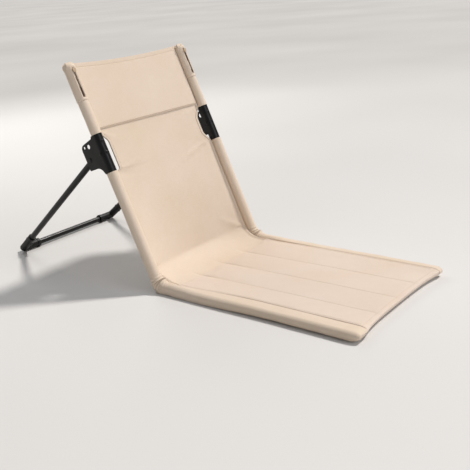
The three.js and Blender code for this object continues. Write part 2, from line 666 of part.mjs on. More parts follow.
function bindingPoint(u, place, depth) {
  const edge = panelEdge - cutoutInset(place) + gap + u * bindingWidth - frameWidth / 2;
  return new THREE.Vector3(edge, place, (bindingThickness - panelThickness) / 2 - panelSetback - depth);
}

const binding = slab([0, 1], cutoutRows,
  (u, place) => bindingPoint(u, place, 0), (u, place) => bindingPoint(u, place, bindingThickness));
addPair(back, 'edge_binding', binding, liningCloth);

// Headrest: a crowned foam pad under its own cover, sewn to the front of the back cloth
const headrestEdge = frameWidth / 2 - sleeveRadius - gap;
const headrestColumns = easedSteps(panelColumns);
const headrestRows = easedSteps(panelColumns - 2);
const crown = (u, v, height) => height * (Math.sin(Math.PI * u) * Math.sin(Math.PI * v)) ** crownPower;

function headrestPoint(u, v, height, lift) {
  const place = between(headrestLow + gap, topEdge(u, coverThickness), v);
  const front = panelFront(u, headrestLow + gap);
  return new THREE.Vector3(sideways(u) * headrestEdge, place, front + lift + crown(u, v, height));
}

const coverInside = headrestCrown - coverThickness;
add(back, 'headrest_foam', slab(headrestColumns.slice(1, -1), headrestRows.slice(1, -1),
  (u, v) => headrestPoint(u, v, coverInside, gap), (u, v) => headrestPoint(u, v, 0, gap)), foam);
add(back, 'headrest_cover', slab(headrestColumns, headrestRows,
  (u, v) => headrestPoint(u, v, headrestCrown, coverThickness + gap),
  (u, v) => headrestPoint(u, v, coverInside, gap * 2)), cloth);

// Bend: cloth that runs on from the back to the seat, deepest in the middle, with a gathered
// sleeve round each hinge
function upTheBack(place, front) {
  const [across, along] = [Math.cos(backTurn), Math.sin(backTurn)];
  return new THREE.Vector2(place * across - front * along, place * along + front * across);
}

function bendCurve(u) {
  const [start, above] = [bendReach, bendReach + gap]
    .map((place) => upTheBack(place, panelFront(u, place)));
  const end = new THREE.Vector2(-bendReach, -panelSetback);
  const downwards = start.clone().sub(above);
  const corner = start.clone().addScaledVector(downwards, (end.y - start.y) / downwards.y);
  return new THREE.CubicBezierCurve(
    start, start.clone().lerp(corner, bendFullShare), end.clone().lerp(corner, bendFullShare), end);
}

function bendPoint(u, share, depth) {
  const swell = Math.sin(Math.PI * share) ** 2;
  const edge = frameWidth / 2 - sleeveRadius - gap * 2 - (bendWiden + gatherDepth) * swell;
  const angle = between(backTurn, 0, share);
  const front = bendCurve(u).getPoint(share);
  return new THREE.Vector3(
    sideways(u) * edge, front.x + depth * Math.sin(angle), front.y - depth * Math.cos(angle));
}

add(seat, 'bend_panel', slab(acrossShares, steps(bendRings),
  (u, share) => bendPoint(u, share, 0), (u, share) => bendPoint(u, share, panelThickness)), cloth);

const upBack = new THREE.Vector3(0, Math.cos(backTurn), Math.sin(backTurn));
const forward = new THREE.Vector3(0, -1, 0);
const bendPath = new THREE.CubicBezierCurve3(
  upBack.clone().multiplyScalar(bendReach), upBack.clone().multiplyScalar(bendPull),
  forward.clone().multiplyScalar(bendPull), forward.clone().multiplyScalar(bendReach));

function gatheredSleeve(inset, extra) {
  const rings = steps(bendRings).map((share) => {
    const centre = bendPath.getPoint(share);
    const along = bendPath.getTangent(share);
    const inPlane = new THREE.Vector3(0, -along.z, along.y);
    const swell = Math.sin(Math.PI * share) ** 2;
    const fold = inset ? 0 : Math.cos(2 * Math.PI * gatherCount * (share - 1 / 2));
    const gather = gatherDepth * swell * fold;
    const high = sleeveRadius - inset + bendBulge * swell + gather;
    const wide = sleeveRadius - inset + bendWiden * swell + gather;
    centre.addScaledVector(along, share === 0 ? -extra : share === 1 ? extra : 0);
    return Array.from({ length: roundSteps }, (_, i) => {
      const angle = (2 * Math.PI * (i + 0.5)) / roundSteps;
      return centre.clone().addScaledVector(inPlane, high * Math.cos(angle))
        .add(new THREE.Vector3(wide * Math.sin(angle), 0, 0));
    });
  });
  return loft(rings);
}

const groundUnderBend = box([-sleeveDiameter * 2, sleeveDiameter * 2], [-bendReach * 2, bendReach * 2],
  [-sleeveDiameter * 2, -axisHeight]);
const bendSleeve = cut(gatheredSleeve(0, 0), gatheredSleeve(bendWall, overrun), groundUnderBend);
addPair(seat, 'bend_sleeve', bendSleeve, cloth);

// Seat mat: top cover quilted over foam strips, on a flat bottom cloth
const frontEdge = (u) => seatLength - sleeveEnd / 2 - frontEdgeSag * (1 - sideways(u) ** 4);
const matLevel = -axisHeight;
const matEdge = frameWidth / 2 - sleeveRadius - gap;
const stripStep = 1 / foamStripCount;
const stripShares = easedSteps(quiltColumns);
const matColumnShares = Array.from({ length: foamStripCount }, (_, i) =>
  stripShares.slice(i ? 1 : 0).map((share) => (i + share) * stripStep)).flat();
const [rearShare, frontShare] = quiltEndShares;
const rearShares = steps(4).map((share) => share * rearShare);
const middleShares = steps(3).slice(1).map((share) => between(rearShare, 1 - frontShare, share));
const frontShares = easedSteps(4).slice(1).map((share) => 1 - (1 - share) * frontShare);
const channelLow = matBottom + gap + coverThickness;
const rearLevel = axisHeight - panelSetback;
const puff = (share) => Math.max(Math.sin(Math.PI * share), 0) ** quiltPower;

function matTop(u, v) {
  const rear = Math.min(1, v / rearShare);
  const front = Math.min(1, (1 - v) / frontShare);
  const edgeDrop = matEdgeDrop * between(1, matEdgeDropShare, Math.min(1, v * 2)) * (1 - puff(u));
  const drop = Math.max(seamDepth * (1 - puff((u / stripStep) % 1)), edgeDrop);
  const raised = between(rearLevel, matThickness - drop, (1 - Math.cos(Math.PI * rear)) / 2);
  return between(channelLow, raised, Math.sqrt(1 - (1 - front) ** 2));
}

function matPoint(u, v, height) {
  const along = between(bendReach + gap, frontEdge(u), v);
  return new THREE.Vector3(sideways(u) * matEdge, -along, matLevel + height);
}

add(seat, 'seat_cover', slab(matColumnShares, [...rearShares, ...middleShares, ...frontShares],
  (u, v) => matPoint(u, v, matTop(u, v)), (u, v) => matPoint(u, v, matTop(u, v) - coverThickness)), cloth);
add(seat, 'seat_bottom_cloth', slab(acrossShares, [0, 1],
  (u, v) => matPoint(u, v, matBottom), (u, v) => matPoint(u, v, 0)), liningCloth);

for (let i = 0; i < foamStripCount; i += 1) {
  const foamShares = stripShares.slice(1, -1).map((share) => (i + share) * stripStep);
  add(seat, `seat_foam_${i + 1}`, slab(foamShares, [rearShare, ...middleShares],
    (u, v) => matPoint(u, v, matTop(u, v) - coverThickness - gap * 2),
    (u, v) => matPoint(u, v, matBottom + gap)), foam);
}

// The origin goes to the middle of the footprint.
chair.updateMatrixWorld(true);
const footprint = new THREE.Box3().setFromObject(chair, true);
chair.position.y = -(footprint.min.y + footprint.max.y) / 2;

// Points on the two joint axes, which run across the chair
const pivotDepth = pivotPlace * Math.cos(backTurn) + pivotSetback * Math.sin(backTurn);
chair.userData = {
  hingeAxis: [0, chair.position.y - hingeAlong, axisHeight + hingeOffset],
  standAxis: [0, chair.position.y + pivotDepth, pivotHeight],
};
export default chair;
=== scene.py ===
"""Folding floor chair: its cloth, padding, fittings and finishes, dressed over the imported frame.

Metres, +Z up, -Y the way the sitter faces, "left" is -X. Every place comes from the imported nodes.
"""
import json
import logging
import math
from collections.abc import Iterable, Sequence
from dataclasses import astuple, dataclass
from enum import Enum

import bmesh
import bpy
import numpy as np
from mathutils import Matrix, Vector, noise

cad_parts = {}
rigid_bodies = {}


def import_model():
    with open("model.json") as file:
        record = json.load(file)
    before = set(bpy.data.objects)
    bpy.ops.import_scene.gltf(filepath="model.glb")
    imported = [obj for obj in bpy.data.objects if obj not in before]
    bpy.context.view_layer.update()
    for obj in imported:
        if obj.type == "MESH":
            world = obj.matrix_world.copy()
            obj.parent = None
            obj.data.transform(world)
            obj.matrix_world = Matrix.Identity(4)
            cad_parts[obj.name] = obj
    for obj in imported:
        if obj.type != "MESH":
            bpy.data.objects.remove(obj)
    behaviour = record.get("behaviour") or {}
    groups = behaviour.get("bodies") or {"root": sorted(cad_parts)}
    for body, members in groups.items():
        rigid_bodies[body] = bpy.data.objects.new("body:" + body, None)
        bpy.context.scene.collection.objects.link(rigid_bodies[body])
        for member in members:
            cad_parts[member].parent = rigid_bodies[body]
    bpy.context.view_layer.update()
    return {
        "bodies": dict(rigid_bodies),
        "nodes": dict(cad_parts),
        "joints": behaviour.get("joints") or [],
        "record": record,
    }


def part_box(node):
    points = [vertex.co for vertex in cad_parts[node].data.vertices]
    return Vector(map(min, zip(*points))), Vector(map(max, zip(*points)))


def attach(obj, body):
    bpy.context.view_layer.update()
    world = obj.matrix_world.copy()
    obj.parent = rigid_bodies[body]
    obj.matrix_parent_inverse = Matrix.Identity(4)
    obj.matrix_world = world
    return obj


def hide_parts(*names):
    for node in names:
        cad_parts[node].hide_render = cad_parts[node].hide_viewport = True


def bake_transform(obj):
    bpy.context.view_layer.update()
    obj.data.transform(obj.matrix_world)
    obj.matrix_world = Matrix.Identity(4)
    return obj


log = logging.getLogger("floor_chair")

ACROSS = np.array([1.0, 0.0, 0.0])
FORWARD = np.array([0.0, -1.0, 0.0])
DOWN = np.array([0.0, 0.0, -1.0])
TOUCH = 0.0003                     # gap between pieces that touch
MERGE = 1e-6                       # distance at which corners become one


class Side(Enum):
    """A side of the chair, with the sign of its X."""

    LEFT = -1
    RIGHT = 1

    @property
    def word(self) -> str:
        """The side's name, as in the names of the pieces."""
        return self.name.lower()


class Slot(Enum):
    """The record's material slots."""

    CLOTH = "cloth"
    LINING = "lining_cloth"
    TAPE = "edge_tape"
    FOAM = "foam"
    STEEL = "black_steel"
    ZINC = "raw_steel"
    NYLON = "black_plastic"
    ZIP = "zip_teeth"


# Finishes

WAVE_TURNS = 20                    # radians of Blender's wave texture for each unit of its scale
MIX_FIRST, MIX_SECOND, MIX_RESULT = 6, 7, 2    # the colour mixer's sockets


def linear(code: str) -> tuple[float, float, float, float]:
    """Turns an sRGB hex value into linear RGBA.

    Args:
        code: Six hex digits.

    Returns:
        Linear red, green and blue, and an alpha of 1.
    """
    shares = [int(code[i:i + 2], 16) / 255 for i in (0, 2, 4)]
    red, green, blue = (c / 12.92 if c <= 0.04045 else ((c + 0.055) / 1.055) ** 2.4 for c in shares)
    return red, green, blue, 1.0


def lit(code: str, share: float) -> tuple[float, ...]:
    """The linear colour of a hex value at a share of its brightness."""
    return (*(c * share for c in linear(code)[:3]), 1.0)


def add_node(tree: bpy.types.NodeTree, kind: str, settings: dict | None = None,
             links: dict | None = None) -> bpy.types.Node:
    """Adds a node with its settings and links.

    Args:
        tree: The tree that gets the node.
        kind: The node's type name.
        settings: Values by property name, or by input name or number.
        links: Output sockets by input name or number.

    Returns:
        The new node.
    """
    node = tree.nodes.new(kind)
    for key, value in (settings or {}).items():
        if isinstance(key, str) and key not in node.inputs and hasattr(node, key):
            setattr(node, key, value)
        else:
            node.inputs[key].default_value = value
    for key, socket in (links or {}).items():
        tree.links.new(socket, node.inputs[key])
    return node


@dataclass(frozen=True)
class Shader:
    """A material with its principled shader, and the patterns that its finish is made of."""

    material: bpy.types.Material
    surface: bpy.types.Node

    @classmethod
    def named(cls, name: str, colour: str, values: dict) -> "Shader":
        """Makes the material.

        Args:
            name: The material's name.
            colour: Its base colour, as six hex digits.
            values: The shader's other socket values.

        Returns:
            The material and its shader node.
        """
        material = bpy.data.materials.new(name)
        material.use_nodes = True
        surface = material.node_tree.nodes["Principled BSDF"]
        for key, value in {"Base Color": linear(colour), **values}.items():
            surface.inputs[key].default_value = value
        material.diffuse_color = linear(colour)
        return cls(material, surface)

    def node(self, kind: str, settings: dict | None = None, links: dict | None = None) -> bpy.types.Node:
        """Adds a node to the material."""
        return add_node(self.material.node_tree, kind, settings, links)

    def feed(self, key: str, socket: bpy.types.NodeSocket) -> None:
        """Links an output to one of the shader's own sockets."""
        self.material.node_tree.links.new(socket, self.surface.inputs[key])

    def own_map(self) -> bpy.types.NodeSocket:
        """The piece's own UV map, in metres."""
        return self.node("ShaderNodeUVMap", {"uv_map": "UVMap"}).outputs["UV"]

    def place(self) -> bpy.types.NodeSocket:
        """The place on the piece, in metres."""
        return self.node("ShaderNodeTexCoord").outputs["Object"]

    def clouds(self, place: bpy.types.NodeSocket, size: float, detail: float = 2.0,
               roughness: float = 0.5) -> bpy.types.NodeSocket:
        """Random values from 0 to 1, in swells of a size in metres."""
        return self.node("ShaderNodeTexNoise", {"Scale": 1 / size, "Detail": detail, "Roughness": roughness},
                         {"Vector": place}).outputs["Fac"]

    def ridges(self, place: bpy.types.NodeSocket, direction: str, spacing: float,
               settings: dict | None = None) -> bpy.types.NodeSocket:
        """Even ridges from 0 to 1, counted along a direction at a spacing in metres.

        Args:
            place: The coordinates.
            direction: X, Y or DIAGONAL.
            spacing: Distance from ridge to ridge.
            settings: Further values of the texture.

        Returns:
            The ridges' socket.
        """
        scale = 2 * math.pi / spacing / WAVE_TURNS
        settings = {"bands_direction": direction, "Scale": scale, **(settings or {})}
        return self.node("ShaderNodeTexWave", settings, {"Vector": place}).outputs["Fac"]

    def joined(self, operation: str, first: bpy.types.NodeSocket,
               second: bpy.types.NodeSocket) -> bpy.types.NodeSocket:
        """Two values joined by a sum, a product or the like."""
        return self.node("ShaderNodeMath", {"operation": operation}, {0: first, 1: second}).outputs[0]

    def ranged(self, value: bpy.types.NodeSocket, taken: tuple[float, float],
               given: tuple[float, float]) -> bpy.types.NodeSocket:
        """A value moved from the range that is taken to the one that is given."""
        limits = dict(zip(("From Min", "From Max", "To Min", "To Max"), (*taken, *given)))
        return self.node("ShaderNodeMapRange", limits, {"Value": value}).outputs["Result"]

    def tint(self, share: bpy.types.NodeSocket, first: tuple[float, ...], second: tuple[float, ...]) -> None:
        """Colours the shader between two colours, by a share from 0 to 1."""
        ends = {"data_type": "RGBA", MIX_FIRST: first, MIX_SECOND: second}
        self.feed("Base Color", self.node("ShaderNodeMix", ends, {0: share}).outputs[MIX_RESULT])

    def bump(self, height: bpy.types.NodeSocket, depth: float) -> None:
        """Raises the surface by a height from 0 to 1, where 1 stands for a depth in metres."""
        node = self.node("ShaderNodeBump", {"Strength": 1.0, "Distance": depth}, {"Height": height})
        self.feed("Normal", node.outputs["Normal"])


@dataclass(frozen=True)
class WovenCanvas:
    """Plain-woven polyester canvas: matt, a little fuzzy, with slubs in its threads.

    The real threads are about 0.45 mm apart, too fine to show, so they are drawn three times as coarse.
    """

    name: str
    colour: str
    warm_colour: str
    thread_spacing: float = 0.00135
    weave_depth: float = 0.00022
    waver: float = 0.4
    patch_size: float = 0.16
    patch_share: float = 0.6         # of the warm colour in the warmest patches
    slub_length: float = 0.022
    slub_tint: float = 0.35
    roughness: float = 0.88
    sheen: float = 0.22
    sheen_roughness: float = 0.45
    sheen_colour: str = "fff4e6"

    def material(self) -> bpy.types.Material:
        """Builds the material, with the weave on the piece's own UV map.

        Returns:
            The finished material.
        """
        shader = Shader.named(self.name, self.colour, {
            "Roughness": self.roughness, "IOR": 1.45, "Sheen Weight": self.sheen,
            "Sheen Roughness": self.sheen_roughness, "Sheen Tint": linear(self.sheen_colour)})
        uv = shader.own_map()
        waver = {"Distortion": self.waver, "Detail": 1.0, "Detail Scale": 0.6}
        threads = (shader.ridges(uv, axis, self.thread_spacing, waver) for axis in "XY")
        weave = shader.joined("MAXIMUM", *threads)
        fine, long = 1 / self.thread_spacing, 1 / self.slub_length
        slub = shader.joined("MULTIPLY", self.slubs(shader, uv, (long, fine, 1)),
                             self.slubs(shader, uv, (fine, long, 1)))
        shade = shader.ranged(slub, (0.12, 0.4), (0.0, self.slub_tint))
        patches = shader.clouds(shader.place(), self.patch_size, 3.0, 0.6)
        warmth = shader.ranged(patches, (0.3, 0.7), (0.0, self.patch_share))
        shader.tint(shader.joined("ADD", shade, warmth), linear(self.colour), linear(self.warm_colour))
        shader.bump(weave, self.weave_depth)
        return shader.material

    @staticmethod
    def slubs(shader: Shader, uv: bpy.types.NodeSocket, stretch: Sequence[float]) -> bpy.types.NodeSocket:
        """The thick and thin stretches of one set of threads, from 0 to 1.

        Args:
            shader: The material's shader.
            uv: The piece's own map, in metres.
            stretch: The pattern's count for each metre, along and across.

        Returns:
            Their socket.
        """
        mapped = shader.node("ShaderNodeMapping", {"Scale": stretch}, {"Vector": uv})
        return shader.clouds(mapped.outputs["Vector"], 1.0, 1.0)


@dataclass(frozen=True)
class RibbedTape:
    """Grosgrain polyester tape: fine ribs across it, a touch shinier than the canvas."""

    name: str
    colour: str
    rib_spacing: float = 0.0021
    rib_depth: float = 0.0003
    rib_shade: float = 0.72          # painted shade between two ribs, as their brightness
    roughness: float = 0.7

    def material(self) -> bpy.types.Material:
        """Builds the material, with the ribs counted along the tape's own UV map and painted shade between
        them.

        Returns:
            The finished material.
        """
        shader = Shader.named(self.name, self.colour, {
            "Roughness": self.roughness, "IOR": 1.45, "Sheen Weight": 0.15, "Sheen Roughness": 0.4})
        ribs = shader.ridges(shader.own_map(), "Y", self.rib_spacing, {"Distortion": 0.2})
        shader.tint(ribs, lit(self.colour, self.rib_shade), linear(self.colour))
        shader.bump(ribs, self.rib_depth)
        return shader.material


@dataclass(frozen=True)
class Grained:
    """A hard finish whose surface is a fine random grain: powder coat, moulded nylon or plating.

    Powder coat shows a soft orange peel, an eroded mould leaves an even matt grain, and zinc plating
    has faint cloudy patches.
    """

    name: str
    colour: str
    roughness: float
    grain_size: float
    grain_depth: float
    metallic: float = 0.0
    cloud_size: float = 0.03
    cloud: float = 0.08              # by which the roughness varies
    shine: float = 0.5
    grain_light: float = 1.35        # brightness of the lightest grains

    def material(self) -> bpy.types.Material:
        """Builds the material on Object coordinates.

        Returns:
            The finished material.
        """
        shader = Shader.named(self.name, self.colour, {
            "Roughness": self.roughness, "Metallic": self.metallic, "IOR": 1.5,
            "Specular IOR Level": self.shine})
        place = shader.place()
        grain = shader.clouds(place, self.grain_size)
        limits = (self.roughness - self.cloud, self.roughness + self.cloud)
        shader.tint(grain, linear(self.colour), lit(self.colour, self.grain_light))
        clouds = shader.clouds(place, self.cloud_size, 3.0)
        shader.feed("Roughness", shader.ranged(clouds, (0.3, 0.7), limits))
        shader.bump(grain, self.grain_depth)
        return shader.material


@dataclass(frozen=True)
class TwistedThread:
    """Bonded polyester thread: two plies twisted, with a low sheen along each stitch."""

    name: str
    colour: str
    ply_length: float = 0.0011
    ply_shade: float = 0.8           # painted shade between two plies, as their brightness
    roughness: float = 0.55

    def material(self) -> bpy.types.Material:
        """Builds the material on Object coordinates, with painted shade between the plies.

        Returns:
            The finished material.
        """
        shader = Shader.named(self.name, self.colour, {"Roughness": self.roughness, "Sheen Weight": 0.2})
        plies = shader.ridges(shader.place(), "DIAGONAL", self.ply_length)
        shader.tint(plies, lit(self.colour, self.ply_shade), linear(self.colour))
        return shader.material


@dataclass(frozen=True)
class OpenFoam:
    """Open-cell polyurethane foam, pale and fully matt, with cells about a millimetre wide."""

    name: str
    colour: str
    cell_size: float = 0.0012
    cell_shade: float = 0.7          # painted shade inside a cell, as its brightness

    def material(self) -> bpy.types.Material:
        """Builds the material on Object coordinates, with painted shade inside the cells.

        Returns:
            The finished material.
        """
        shader = Shader.named(self.name, self.colour, {"Roughness": 0.95})
        cells = shader.node("ShaderNodeTexVoronoi", {"Scale": 1 / self.cell_size},
                            {"Vector": shader.place()}).outputs["Distance"]
        shader.tint(cells, lit(self.colour, self.cell_shade), linear(self.colour))
        shader.bump(cells, self.cell_size / 2)
        return shader.material


class Finishes:
    """Every material of the chair, built once."""

    def __init__(self) -> None:
        """Builds the materials."""
        self.canvas = WovenCanvas("cream_canvas", "e0d0bf", "d9c5ae").material()
        # The mat is the same canvas as the back's, painted a little paler and less warm: painted sky light on
        # the mat, which lies open to the sky.
        self.quilted_canvas = WovenCanvas("quilted_canvas", "dfd0c2", "d9c5b2").material()
        self.lining = WovenCanvas("lining_canvas", "c9b59d", "bfa98f", sheen=0.1).material()
        self.tape = RibbedTape("cream_grosgrain", "e6d4c0").material()
        self.dark_tape = RibbedTape("brown_grosgrain", "8d7763").material()
        self.steel = Grained("black_powder_coat", "060606", 0.36, 0.0014, 0.00005, cloud=0.06,
                             shine=0.32).material()
        self.nylon = Grained("black_moulded_nylon", "080809", 0.5, 0.0007, 0.00006, cloud=0.05,
                             shine=0.35).material()
        self.zinc = Grained("zinc_plate", "a9abad", 0.34, 0.004, 0.00001, metallic=1.0).material()
        self.lacquer = Grained("tan_lacquered_zinc", "a8927a", 0.5, 0.003, 0.00001, cloud=0.04).material()
        self.coil = Grained("brown_zip_coil", "4a382c", 0.4, 0.0006, 0.00002).material()
        self.thread = TwistedThread("cream_thread", "d9c4ab").material()
        # Brown thread: real stitches, darker than the cloth, that also paint the shadow line along the
        # bindings and the headrest's seam.
        self.seam_thread = TwistedThread("brown_thread", "a68a6c").material()
        self.foam = OpenFoam("pale_foam", "eee9dc").material()
        self.by_slot = {
            Slot.CLOTH: self.canvas, Slot.LINING: self.lining, Slot.TAPE: self.tape, Slot.FOAM: self.foam,
            Slot.STEEL: self.steel, Slot.ZINC: self.zinc, Slot.NYLON: self.nylon, Slot.ZIP: self.coil}


# Meshes

@dataclass
class Patch:
    """A grid of points that becomes quads, with its own distances for the weave.

    Attributes:
        points: Rows by columns by 3, in metres.
        round: Whether the last column joins the first.
    """

    points: np.ndarray
    round: bool = False

    def closed(self) -> np.ndarray:
        """The grid, with its first column again at the end if it goes round."""
        return np.concatenate([self.points, self.points[:, :1]], axis=1) if self.round else self.points


@dataclass(frozen=True)
class Steps:
    """Distances from one place of a grid to the next.

    Attributes:
        coarse: Widest step.
        fine: Step beside fine detail.
        reach: How far from the detail the steps take to widen.
        growth: How much wider each step is than the one before.
    """

    coarse: float
    fine: float = 0.001
    reach: float = 0.012
    growth: float = 1.25

    def spread(self, low: float, high: float, dense: Sequence[float] = ()) -> np.ndarray:
        """Places from low to high that crowd together at fine detail.

        Args:
            low: First place.
            high: Last place.
            dense: Places of fine detail.

        Returns:
            The sorted places.
        """
        places = set(np.linspace(low, high, max(2, round((high - low) / self.coarse) + 1)).round(6))
        for centre in dense:
            offset, step = 0.0, self.fine
            while offset < self.reach:
                places |= {round(centre + offset, 6), round(centre - offset, 6)}
                offset += step
                step *= self.growth
        kept = [low]
        for place in sorted(p for p in places if low < p < high):
            if place - kept[-1] > self.fine * 0.6:
                kept.append(place)
        if len(kept) > 1 and high - kept[-1] < self.fine * 0.5:
            kept.pop()
        return np.array([*kept, high])


def steps_along(points: np.ndarray, axis: int) -> np.ndarray:
    """The mean distance run along one axis of a grid, from 0."""
    moves = np.linalg.norm(np.diff(points, axis=axis), axis=2).mean(axis=1 - axis)
    return np.concatenate([[0.0], np.cumsum(moves)])


def cloth_object(name: str, patches: Iterable[Patch], sharp: float = 50.0) -> bpy.types.Object:
    """Joins patches into one closed body, with a UV map in metres.

    Args:
        name: The piece's name.
        patches: The grids, which meet at their borders.
        sharp: The least angle of an edge that stays sharp, in degrees.

    Returns:
        The new object, at the origin.
    """
    build = bmesh.new()
    layer = build.loops.layers.uv.new("UVMap")
    for patch in patches:
        points = patch.closed()
        rows, columns = points.shape[:2]
        across, along = steps_along(points, 1), steps_along(points, 0)
        corners = [[build.verts.new(points[r, c]) for c in range(columns)] for r in range(rows)]
        for r in range(rows - 1):
            for c in range(columns - 1):
                places = ((r, c), (r, c + 1), (r + 1, c + 1), (r + 1, c))
                face = build.faces.new([corners[i][j] for i, j in places])
                for loop, (i, j) in zip(face.loops, places):
                    loop[layer].uv = (across[j], along[i])
    bmesh.ops.remove_doubles(build, verts=build.verts, dist=MERGE)
    bmesh.ops.dissolve_degenerate(build, edges=build.edges, dist=MERGE / 10)
    bmesh.ops.recalc_face_normals(build, faces=build.faces)
    mesh = bpy.data.meshes.new(name)
    build.to_mesh(mesh)
    build.free()
    return shown(name, mesh, sharp)


def linked(name: str, data: bpy.types.ID) -> bpy.types.Object:
    """Puts a mesh, a light or a camera in the scene.

    Args:
        name: The new object's name.
        data: Its mesh, light or camera.

    Returns:
        The new object.
    """
    piece = bpy.data.objects.new(name, data)
    bpy.context.scene.collection.objects.link(piece)
    return piece


def shown(name: str, mesh: bpy.types.Mesh, sharp: float) -> bpy.types.Object:
    """Puts a mesh in the scene with smooth faces.

    Args:
        name: The piece's name.
        mesh: Its mesh.
        sharp: The least angle of an edge that stays sharp, in degrees.

    Returns:
        The new object, at the origin.
    """
    mesh.shade_smooth()
    mesh.set_sharp_from_angle(angle=math.radians(sharp))
    return linked(name, mesh)


def coordinates(mesh: bpy.types.Mesh) -> np.ndarray:
    """The places of a mesh's corners, as rows of 3.

    Args:
        mesh: The mesh.

    Returns:
        One row for each corner.
    """
    values = np.empty(len(mesh.vertices) * 3)
    mesh.vertices.foreach_get("co", values)
    return values.reshape(-1, 3)


def slab(front: np.ndarray, rear: np.ndarray) -> list[Patch]:
    """The patches of a closed slab between two grids of the same shape.

    Args:
        front: The grid of its front.
        rear: The grid of its rear.

    Returns:
        Front, rear and the four rims between them.
    """
    rims = [np.stack([front[i], rear[i]]) for i in (0, -1)]
    rims += [np.stack([front[:, i], rear[:, i]]) for i in (0, -1)]
    return [Patch(front), Patch(rear), *(Patch(rim) for rim in rims)]


def lid(ring: np.ndarray) -> Patch:
    """The closed end of a tube, from its last ring to the ring's middle."""
    return Patch(np.stack([ring, np.broadcast_to(ring.mean(axis=0), ring.shape)]), round=True)


def tube(rings: np.ndarray) -> list[Patch]:
    """The patches of a closed tube through rows of rings."""
    return [Patch(rings, round=True), lid(rings[0]), lid(rings[-1])]


def turns(sides: int) -> np.ndarray:
    """Even angles once round a ring."""
    return np.linspace(0, 2 * np.pi, sides, endpoint=False)


def facing(points: np.ndarray) -> np.ndarray:
    """The unit normals of a grid of points.

    Args:
        points: Rows by columns by 3.

    Returns:
        A direction for each point.
    """
    down, right = np.gradient(points, axis=0), np.gradient(points, axis=1)
    normal = np.cross(down, right)
    return normal / np.maximum(np.linalg.norm(normal, axis=2, keepdims=True), 1e-12)


def facing_out(points: np.ndarray) -> np.ndarray:
    """Unit directions away from each ring's own middle."""
    away = points - points.mean(axis=1, keepdims=True)
    return away / np.maximum(np.linalg.norm(away, axis=2, keepdims=True), 1e-9)


def rough(points: np.ndarray, size: float, seed: float) -> np.ndarray:
    """Smooth random values from -1 to 1 at a grid of points.

    Args:
        points: Rows by columns by 3, in metres.
        size: Width of one swell.
        seed: Picks the pattern.

    Returns:
        One value for each point.
    """
    flat = points.reshape(-1, 3) / size + seed
    return np.array([noise.noise(Vector(p)) for p in flat]).reshape(points.shape[:2])


def roughened(rings: np.ndarray, depth: float, size: float, seed: float,
              grain: Sequence[float] = (1.0, 1.0, 1.0)) -> np.ndarray:
    """Rings with an uneven surface.

    Args:
        rings: Rows of ring points, in metres.
        depth: Height of a swell.
        size: Width of a swell.
        seed: Picks the pattern.
        grain: How much closer the swells lie along each axis.

    Returns:
        The rings, moved in and out.
    """
    return rings + facing_out(rings) * (depth * rough(rings * grain, size, seed))[..., None]


def bell(distance: np.ndarray, width: float) -> np.ndarray:
    """A smooth hump, 1 at no distance and fading over the given width."""
    return np.exp(-(distance / width) ** 2)


def pinch(distance: np.ndarray, width: float, power: float = 0.9) -> np.ndarray:
    """A hump, 1 at no distance: pointed as at a seam, or flat-topped with a greater power."""
    return np.exp(-(distance / width) ** power)


def ramp(value: np.ndarray, start: float, end: float) -> np.ndarray:
    """An eased share from 0 at start to 1 at end."""
    share = np.clip((value - start) / (end - start), 0, 1)
    return share * share * (3 - 2 * share)


def rounding(distance: np.ndarray, radius: float) -> np.ndarray:
    """The height of a rounded edge of radius 1 at a distance from it, 0 at the edge."""
    return np.sqrt(1 - (1 - np.clip(distance / radius, 0, 1)) ** 2)


def turned_by(angle: np.ndarray) -> np.ndarray:
    """An angle as the least turn either way."""
    return (angle + np.pi) % (2 * np.pi) - np.pi


def dressed(piece: bpy.types.Object, finish: bpy.types.Material) -> bpy.types.Object:
    """Gives a piece its material.

    Args:
        piece: The piece.
        finish: Its material.

    Returns:
        The piece.
    """
    piece.data.materials.clear()
    piece.data.materials.append(finish)
    return piece


def report(piece: bpy.types.Object) -> None:
    """Logs a finished piece."""
    log.info("%s: %d faces", piece.name, len(piece.data.polygons))


